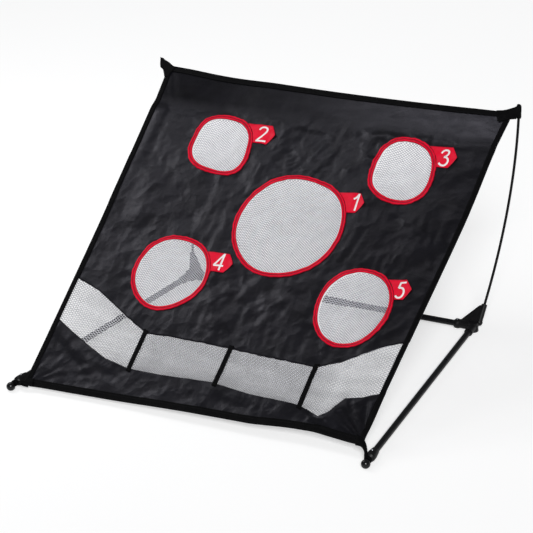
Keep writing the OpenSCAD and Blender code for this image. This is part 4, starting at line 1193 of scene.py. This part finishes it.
def diamond_net(inside, low, high, pitch, openness=even_mesh):
    """The flat pattern of a diamond net: points and quads, for the cells whose centre is inside."""
    px, py = pitch
    i, j = np.meshgrid(np.arange(int(low[0] / px) - 1, int(high[0] / px) + 2),
                       np.arange(2 * int(low[1] / py) - 2, 2 * int(high[1] / py) + 3), indexing="ij")
    centres = np.stack([(i + 0.5 * (j % 2)) * px, j * py / 2], axis=-1).reshape(-1, 2)
    centres = centres[inside(centres)]
    arms = np.array([(px / 2, 0), (0, py / 2), (-px / 2, 0), (0, -py / 2)])
    outer = (centres[:, None, :] + arms).reshape(-1, 2)
    inner = (centres[:, None, :] + arms * openness(centres)[:, None, None]).reshape(-1, 2)
    keys = np.round(outer / (0.1 * MM)).astype(np.int64)
    _, first, again = np.unique(keys, axis=0, return_index=True, return_inverse=True)
    shared = outer[first]
    ids = again.reshape(-1, 4)
    inner_ids = np.arange(len(inner)).reshape(-1, 4) + len(shared)
    following = np.roll(np.arange(4), -1)
    quads = np.stack([ids, ids[:, following], inner_ids[:, following], inner_ids], axis=-1).reshape(-1, 4)
    return np.vstack([shared, inner]), quads


def net_cut_area(quads, pitch):
    """The area of cloth cut for a net, its openings counted in. Four quads make one diamond."""
    return len(quads) / 4 * pitch[0] * pitch[1] / 2


# %% Net pockets
MIDDLE_DEPTH, SIDE_DEPTH = 30 * MM, 22 * MM
CRESCENTS = {  # where each selvedge faces, in degrees, and how far it peeps out, in millimetres
    1: (-25, 4.5), 2: (175, 3.2), 3: (180, 3.2), 4: (-30, 4.0), 5: (175, 3.2)}
SELVEDGE_LOW, SELVEDGE_HIGH, SELVEDGE_HIDDEN = -1.1 * MM, -0.75 * MM, 2.5 * MM


def pocket_surface(hole, depth):
    """A place function for a rippled bowl behind a hole."""

    def sag(across, slope, out):
        share = hole.share(np.stack([across, slope], axis=1))
        dip = depth * np.maximum(0, 1 - share ** 2) ** 0.7
        ripple = wavy(across, slope, 12 * MM, 60 * MM, 60 * MM, 8 + hole.number)
        return on_cloth(across, slope, out - dip + ripple * np.maximum(0, 1 - share))

    return sag


def pocket_net(hole, depth):
    """One pocket's net, its cut area and its flat size."""
    reach = 1 + NET_BORDER / hole.radius
    size = hole.radius * 1.1 * reach
    flat, quads = diamond_net(
        lambda c: hole.share(c) < reach, hole.centre - size, hole.centre + size, POCKET_PITCH)
    net = slab(f"net_{hole.number}", flat, quads, NET_LOW, NET_HIGH, POCKET_NET_SHADED,
               replaces=(f"pocket_net_{hole.number}",), place=pocket_surface(hole, depth))
    return net, net_cut_area(quads, POCKET_PITCH), (2 * size, 2 * size)


def selvedge(hole):
    """The folded edge of the pocket net: wide at one side of the hole, hidden at the other."""
    facing, widest = CRESCENTS[hole.number]
    angles = np.linspace(0, 2 * math.pi, RING_STEPS, endpoint=False)
    width = widest * MM * np.clip(np.cos(angles - math.radians(facing)), 0, 1) ** 0.8
    hidden = SELVEDGE_HIDDEN + 0 * angles
    points, uvs = [], []
    for offset, height in ((hidden, SELVEDGE_LOW), (hidden, SELVEDGE_HIGH),
                           (-width, SELVEDGE_HIGH), (-width, SELVEDGE_LOW)):
        line = hole.rim_point(angles, offset)
        points.append(on_cloth(line[:, 0], line[:, 1], height + 0 * angles))
        uvs.append(line)
    faces = loop_faces(4, RING_STEPS)[:, ::-1]
    return piece(f"selvedge_{hole.number}", np.vstack(points), faces, np.vstack(uvs), SELVEDGE)


nets = [pocket_net(hole, MIDDLE_DEPTH if hole.number == 1 else SIDE_DEPTH) for hole in HOLES]
selvedges = [selvedge(hole) for hole in HOLES]
print("pocket nets:", [round(area, 3) for net, area, cut in nets], "square metres")

# %% Trough net
TROUGH_SAG = 28 * MM
TROUGH_HALF = STRAP_INNER + 8 * MM
FOLD_LENGTH, FOLD_SPACING = 170 * MM, 22 * MM


def trough_inside(centres):
    """Which cells lie in the trough or on the strips that are sewn down."""
    a, b = centres[:, 0], centres[:, 1]
    return (np.abs(a) < TROUGH_HALF) & (b > bay_foot(a)) & (b < bay_head(a))


def pulled_mesh(centres):
    """Where the net hangs in folds, some rows are drawn open and others are pushed together."""
    a, b = centres[:, 0], centres[:, 1]
    rows = noise(a / FOLD_LENGTH, (b - 0.06 * np.abs(a)) / FOLD_SPACING, 31)
    even = np.interp(a, [-0.40, -0.24, -0.18, 0.27, 0.36, 0.45], [0.66, 0.62, 0.46, 0.46, 0.64, 0.70])
    return np.clip(even + 0.10 * rows, 0.38, 0.78)


def trough_sag(across, slope, out):
    """The hanging net: deepest half way up, and flat at both ends."""
    low, high = trough_foot(across), trough_head(across)
    t = np.clip((slope - low) / (high - low), 0, 1)
    hang = 4 * t * (1 - t) * (1 - np.clip(np.abs(across / TROUGH_HALF), 0, 1) ** 6)
    ripple = wavy(across, slope, 10 * MM, 90 * MM, 50 * MM, 21)
    return on_sheet(across, slope, out + (ripple - TROUGH_SAG) * hang)


flat, quads = diamond_net(trough_inside, (-TROUGH_HALF, 0.04), (TROUGH_HALF, 0.34), TROUGH_PITCH, pulled_mesh)
trough = slab("net_trough", flat, quads, NET_LOW, NET_HIGH, TROUGH_NET,
              replaces=("trough_net",), place=trough_sag)
print("trough net:", len(quads), "strips")

# %% [markdown]
# ## Corner pockets
# A webbing pocket at each top corner slips over the rod's tip. It is a flat ear that grows out
# of the sheet's corner, sewn to a narrow sleeve behind it. The left ear is pulled long and
# covers its sleeve. The right ear is short, and its sleeve shows beside it.

# %% Corner pockets
ROD_TIP = np.array([540 * MM, 1018 * MM])
ROD_LEAN = np.array([0.151, -0.204, 0.967])
SLEEVE_RADIUS = 6.5 * MM
SLEEVE_LENGTH = 42 * MM
TIP_CAP = 8 * MM
SLEEVE = [  # place along the sleeve, from its foot at -1 to its cap at 1, then width and thickness
    (-1, 0.92, 0.92), (-0.97, 1.0, 1.0), (-0.8, 1.04, 1.0), (-0.55, 0.98, 1.04), (-0.3, 1.05, 0.97),
    (0.0, 1.0, 0.94), (0.5, 0.92, 0.7), (0.85, 0.7, 0.4), (1.0, 0.4, 0.2)]
EAR_LOW, EAR_HIGH = TRIM_HIGH + 0.5 * MM, TRIM_HIGH + 2.0 * MM
EAR_LIFT = 3.6 * MM
EARS = {  # across and slope in millimetres: the lower and upper edge, both from the sheet to the tip
    "left": ([(-500, 968), (-509, 964), (-513, 972), (-521, 985), (-532, 991), (-539, 1005), (-544, 1019)],
             [(-488, 1000), (-498, 1003), (-512, 1011), (-530, 1017), (-546, 1023)]),
    "right": ([(502, 962), (514, 967), (530, 972), (540, 975), (549, 976)],
              [(486, 996), (503, 999), (518, 1004), (531, 1009), (543, 1018), (548, 1016)]),
}


def outline_grid(bottom, top, columns, rows):
    """A pattern between two lines of points that run the same way."""
    a, b = (resampled(np.array(line) * MM, columns + 1) for line in (bottom, top))
    share = np.linspace(0, 1, rows + 1)[None, :, None]
    return (a[:, None, :] * (1 - share) + b[:, None, :] * share).reshape(-1, 2), quads_of(columns, rows)


def draped(across, slope, out):
    """Follows the cloth up to the sheet's corner, and hangs crumpled over the rod beyond it."""
    beyond = ramp(np.abs(across), 505 * MM, 534 * MM)
    crumpled = wavy(across, slope, 1.3 * MM, 13 * MM, 17 * MM, 31)
    crumpled = crumpled + wavy(across + slope, slope, 0.9 * MM, 6 * MM, 30 * MM, 32)
    height = (1 - beyond) * off_plane(across, slope) + EAR_LIFT * beyond + crumpled * (0.3 + 0.7 * beyond)
    return on_plane(across, slope, height + out)


def tube_along(centres, radii, side, over, steps=24):
    """Points and faces of a closed tube. Each centre has two radii, along side and along over."""
    turns = np.linspace(0, 2 * math.pi, steps, endpoint=False)
    points = [c + wide * math.cos(t) * side + thin * math.sin(t) * over
              for c, (wide, thin) in zip(centres, radii) for t in turns]
    count = len(centres)
    faces = []
    for r in range(count - 1):
        for k in range(steps):
            here, above, turned = r * steps, (r + 1) * steps, (k + 1) % steps
            faces.append((here + k, here + turned, above + turned, above + k))
    faces.append(tuple(range(steps - 1, -1, -1)))
    faces.append(tuple((count - 1) * steps + k for k in range(steps)))
    return np.array(points), faces


def rod_sleeve(sign):
    """The narrow sleeve over one rod's tip: its points, its faces and its lengthwise axis."""
    tip = on_plane(np.array([sign * ROD_TIP[0]]), np.array([ROD_TIP[1]]), np.array([0.0]))[0]
    axis = ROD_LEAN * np.array([sign, 1, 1])
    axis /= np.linalg.norm(axis)
    outward = np.array([sign * 1.0, 0, 0]) - axis * axis[0] * sign
    outward /= np.linalg.norm(outward)
    centres = [tip + axis * (place * (SLEEVE_LENGTH - TIP_CAP) if place < 0 else place * TIP_CAP)
               for place, wide, thin in SLEEVE]
    radii = [(SLEEVE_RADIUS * wide, SLEEVE_RADIUS * thin) for place, wide, thin in SLEEVE]
    points, faces = tube_along(centres, radii, outward, np.cross(axis, outward))
    return points, faces, axis


def corner_pocket(side, sign):
    """An ear and its sleeve, as one sewn piece."""
    flat, quads = outline_grid(*EARS[side], 26, 14)
    if sign < 0:
        quads = quads[:, ::-1]
    points, faces = slab_parts(flat, quads, EAR_LOW, EAR_HIGH, draped)
    tube, tube_faces, axis = rod_sleeve(sign)
    faces = list(faces) + [tuple(i + len(points) for i in f) for f in tube_faces]
    uvs = np.vstack([flat, flat, np.stack([tube @ axis, np.zeros(len(tube))], axis=1)])
    return piece(f"ear_{side}", np.vstack([points, tube]), faces, uvs, HEM_TAPE,
                 replaces=(f"corner_pocket_{side}",))


pockets = [corner_pocket("left", -1), corner_pocket("right", 1)]
print("corner pockets:", [pocket.name for pocket in pockets])

# %% [markdown]
# ## Corner loops
# At the bottom corners a webbing tail leaves the sheet, twists, and wraps the stem between the
# ball foot and its socket. The twist is what makes it hard-edged and lumpy.

# %% Ribbons
SECTION = [  # a flat webbing's section, as shares of its width and of its thickness
    (-0.5, -0.3), (-0.42, -0.5), (0.0, -0.56), (0.42, -0.5), (0.5, -0.3), (0.5, 0.3), (0.42, 0.5),
    (0.0, 0.56), (-0.42, 0.5), (-0.5, 0.3)]


def ribbon(centres, widths, twists, normal, thickness):
    """A ribbon along centres, of changing width, turned about its own line by twists in radians."""
    centres = np.array(centres)
    lead = np.gradient(centres, axis=0)
    lead /= np.linalg.norm(lead, axis=1)[:, None]
    points, faces, uvs = [], [], []
    travelled = 0.0
    for k, (c, t, w, a) in enumerate(zip(centres, lead, widths, twists)):
        side = np.cross(t, normal)
        side /= np.linalg.norm(side)
        over = np.cross(side, t)
        x = math.cos(a) * side + math.sin(a) * over
        y = math.cos(a) * over - math.sin(a) * side
        if k:
            travelled += np.linalg.norm(c - centres[k - 1])
        for sx, sy in SECTION:
            points.append(c + x * w * sx + y * thickness * sy)
            uvs.append((travelled, w * (sx + 0.5)))
    n = len(SECTION)
    for k in range(len(centres) - 1):
        for j in range(n):
            faces.append((k * n + j, k * n + (j + 1) % n, (k + 1) * n + (j + 1) % n, (k + 1) * n + j))
    faces.append(tuple(range(n - 1, -1, -1)))
    faces.append(tuple((len(centres) - 1) * n + j for j in range(n)))
    return np.array(points), faces, np.array(uvs)


def bezier(points, steps):
    """A smooth curve through a few control points."""
    out = []
    for t in np.linspace(0, 1, steps):
        line = np.array(points, dtype=float)
        while len(line) > 1:
            line = line[:-1] * (1 - t) + line[1:] * t
        out.append(line[0])
    return np.array(out)


# %% Corner loops
SIDE_SPLAY = math.atan2(80, 755)
STEM_RADIUS = 5 * MM
BALL_ACROSS, AXIS_HEIGHT = 520 * MM, 13.5 * MM
LOOP_GAP = 0.5 * MM
LOOP_WIDTH = 9 * MM
LOOP_THICKNESS = 4 * MM
LOOP_STEPS, TAIL_STEPS = 41, 26
TAIL_THICKNESS = 2.6 * MM


def wrapped_loop(neck, radius, axle, inward, upward):
    """The turn of webbing round the stem, a little out of round."""
    turns = np.linspace(0, 2 * math.pi, LOOP_STEPS)
    circle = [neck + (radius + 0.5 * MM * math.sin(2 * t + 1)) * (math.cos(t) * inward + math.sin(t) * upward)
              for t in turns]
    widths, twists = [LOOP_WIDTH - 0.6 * MM] * LOOP_STEPS, [math.pi / 2] * LOOP_STEPS
    return ribbon(circle, widths, twists, axle, LOOP_THICKNESS - 0.8 * MM)


def corner_loop(side, sign):
    """The loop round one ball foot's stem, and two twisted tails that join it to the sheet."""
    axle = np.array([-sign * math.sin(SIDE_SPLAY), math.cos(SIDE_SPLAY), 0])
    ball = np.array([sign * BALL_ACROSS, FRONT_Y, AXIS_HEIGHT])
    neck = ball + axle * (BALL_RADIUS + LOOP_GAP + LOOP_WIDTH / 2)
    inward, upward = np.array([-sign * 1.0, 0, 0]), np.array([0, 0, 1.0])
    radius = STEM_RADIUS + LOOP_GAP + LOOP_THICKNESS / 2
    points, faces, uvs = wrapped_loop(neck, radius, axle, inward, upward)
    foot = np.array([sign * HALF_WIDTH, bottom_edge(np.array([sign * HALF_WIDTH]))[0]])

    def at(across, slope, out):
        """A point near the corner: millimetres inwards, up the slope and off the cloth."""
        place = (foot[0] - sign * across * MM, foot[1] + slope * MM, out * MM)
        return on_plane(*(np.array([value]) for value in place))[0]

    normal = np.array([0, -math.sin(SLOPE_ANGLE), math.cos(SLOPE_ANGLE)])
    end = neck + radius * (inward * 0.5 + upward * 0.95) + axle * 1.0 * MM
    far = neck + radius * (inward * 1.0 + upward * 0.2) - axle * 1.5 * MM
    tails = [  # the path, its widths and its twist
        ([at(26, 12, 4.0), at(6, 8, 4.6), at(-8, 4, 7.0), end], [24, 20, 14, 9], 0.5 * math.pi),
        ([at(16, 3, 4.4), at(0, 1, 6.0), at(-9, -4, 5.0), far], [16, 13, 10, 8], 0.8 * math.pi),
    ]
    share = np.linspace(0, 1, TAIL_STEPS)
    for path, sizes, turn in tails:
        widths = np.interp(share, [0, 0.4, 0.7, 1], np.array(sizes) * MM)
        twists = np.interp(share, [0, 0.3, 1], [0, 0.15 * turn, turn]) * sign
        tail, tail_faces, tail_uvs = ribbon(bezier(path, TAIL_STEPS), widths, twists, normal, TAIL_THICKNESS)
        faces = faces + [tuple(i + len(points) for i in f) for f in tail_faces]
        points, uvs = np.vstack([points, tail]), np.vstack([uvs, tail_uvs])
    return piece(f"loop_{side}", points, faces, uvs, HEM_TAPE,
                 replaces=(f"corner_loop_{side}",))


loops = [corner_loop("left", -1), corner_loop("right", 1)]
print("corner loops:", [loop.name for loop in loops])

# %% [markdown]
# ## Finish: the rigid pieces
# The tubes are steel with a satin black powder coat, which has a fine orange-peel surface. The
# connectors and sockets are moulded nylon, a little duller and slightly grained. The ball feet
# are glossier. The rods are pultruded fibreglass in a thin black sleeve. The lock buttons are
# plated steel. These pieces keep their engineered shape and only get their materials here.

# %% Rigid materials


def moulded(name, dark, light, roughness, grain, depth, specular=0.5, metallic=0.0):
    """A material for a hard surface, with its grain in metres of object space."""
    material, tree = fresh_tree(name)
    place = add(tree, "ShaderNodeTexCoord").outputs["Object"]
    grains = add(tree, "ShaderNodeTexNoise", {"Vector": place, "Scale": 1 / grain, "Detail": 2.0})
    surface(tree, {
        "Base Color": mottled(tree, place, 40 * MM, dark, light), "Metallic": metallic,
        "Roughness": uneven(tree, place, 25 * MM, roughness - 0.06, roughness + 0.08, 4.0),
        "Normal": relief(tree, (grains, depth)), "Specular IOR Level": specular})
    return material


POWDER_COAT = moulded("powder_coated_steel_black", "#0c0c0e", "#121214", 0.32, 1.5 * MM, 0.04 * MM, 0.3)
NYLON = moulded("moulded_nylon_black", "#0a0a0b", "#0f0f11", 0.40, 0.8 * MM, 0.05 * MM, 0.3)
BALL_NYLON = moulded("polished_nylon_black", "#0a0a0c", "#0f0f11", 0.26, 2.5 * MM, 0.02 * MM, 0.4)
FIBREGLASS = moulded("sleeved_fibreglass_black", "#070708", "#0c0c0d", 0.40, 2.0 * MM, 0.03 * MM, 0.2)
BUTTON_STEEL = moulded("nickel_plated_steel", "#8b8d92", "#a6a8ad", 0.26, 3.0 * MM, 0.01 * MM, metallic=1.0)
SPRING_STEEL = moulded("spring_steel", "#8d9096", "#a3a6ab", 0.34, 2.0 * MM, 0.02 * MM, metallic=1.0)
FINISH = {  # by the start of a node's name; the first that fits counts
    "rear_tube_coupler": NYLON, "rear_tube": POWDER_COAT, "side_tube": POWDER_COAT,
    "rear_connector": NYLON, "front_socket": NYLON, "ball_foot": BALL_NYLON, "rod": FIBREGLASS,
    "lock_button": BUTTON_STEEL, "button_spring": SPRING_STEEL,
}
finished = 0
for name, node in NODES.items():
    finish = next((material for start, material in FINISH.items() if name.startswith(start)), None)
    if finish is not None:
        finished += 1
        node.data.materials.clear()
        node.data.materials.append(finish)
        for polygon in node.data.polygons:
            polygon.material_index = 0
print("rigid pieces with a finish:", finished)

# %% [markdown]
# ## Spring strips
# A bent steel strip lies under each lock button, inside the tube. Its foot stays on the wall of
# the tube while its crown goes down with the button, so it can ride on neither of them. Each strip
# is a copy of its solid.


def spring_strip(corner):
    """Copies one strip and returns its height at rest."""
    solid = NODES[f"button_spring_{corner}"]
    strip = bpy.data.objects.new(f"spring_strip_{corner}", solid.data.copy())
    bpy.context.scene.collection.objects.link(strip)
    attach(strip, "root")
    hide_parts(solid.name)
    low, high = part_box(solid.name)
    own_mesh(strip)
    return high.z - low.z


for corner in ("rear_left", "rear_right", "front_left", "front_right"):
    print("spring strip", corner, f"{1000 * spring_strip(corner):.2f} mm high at rest")
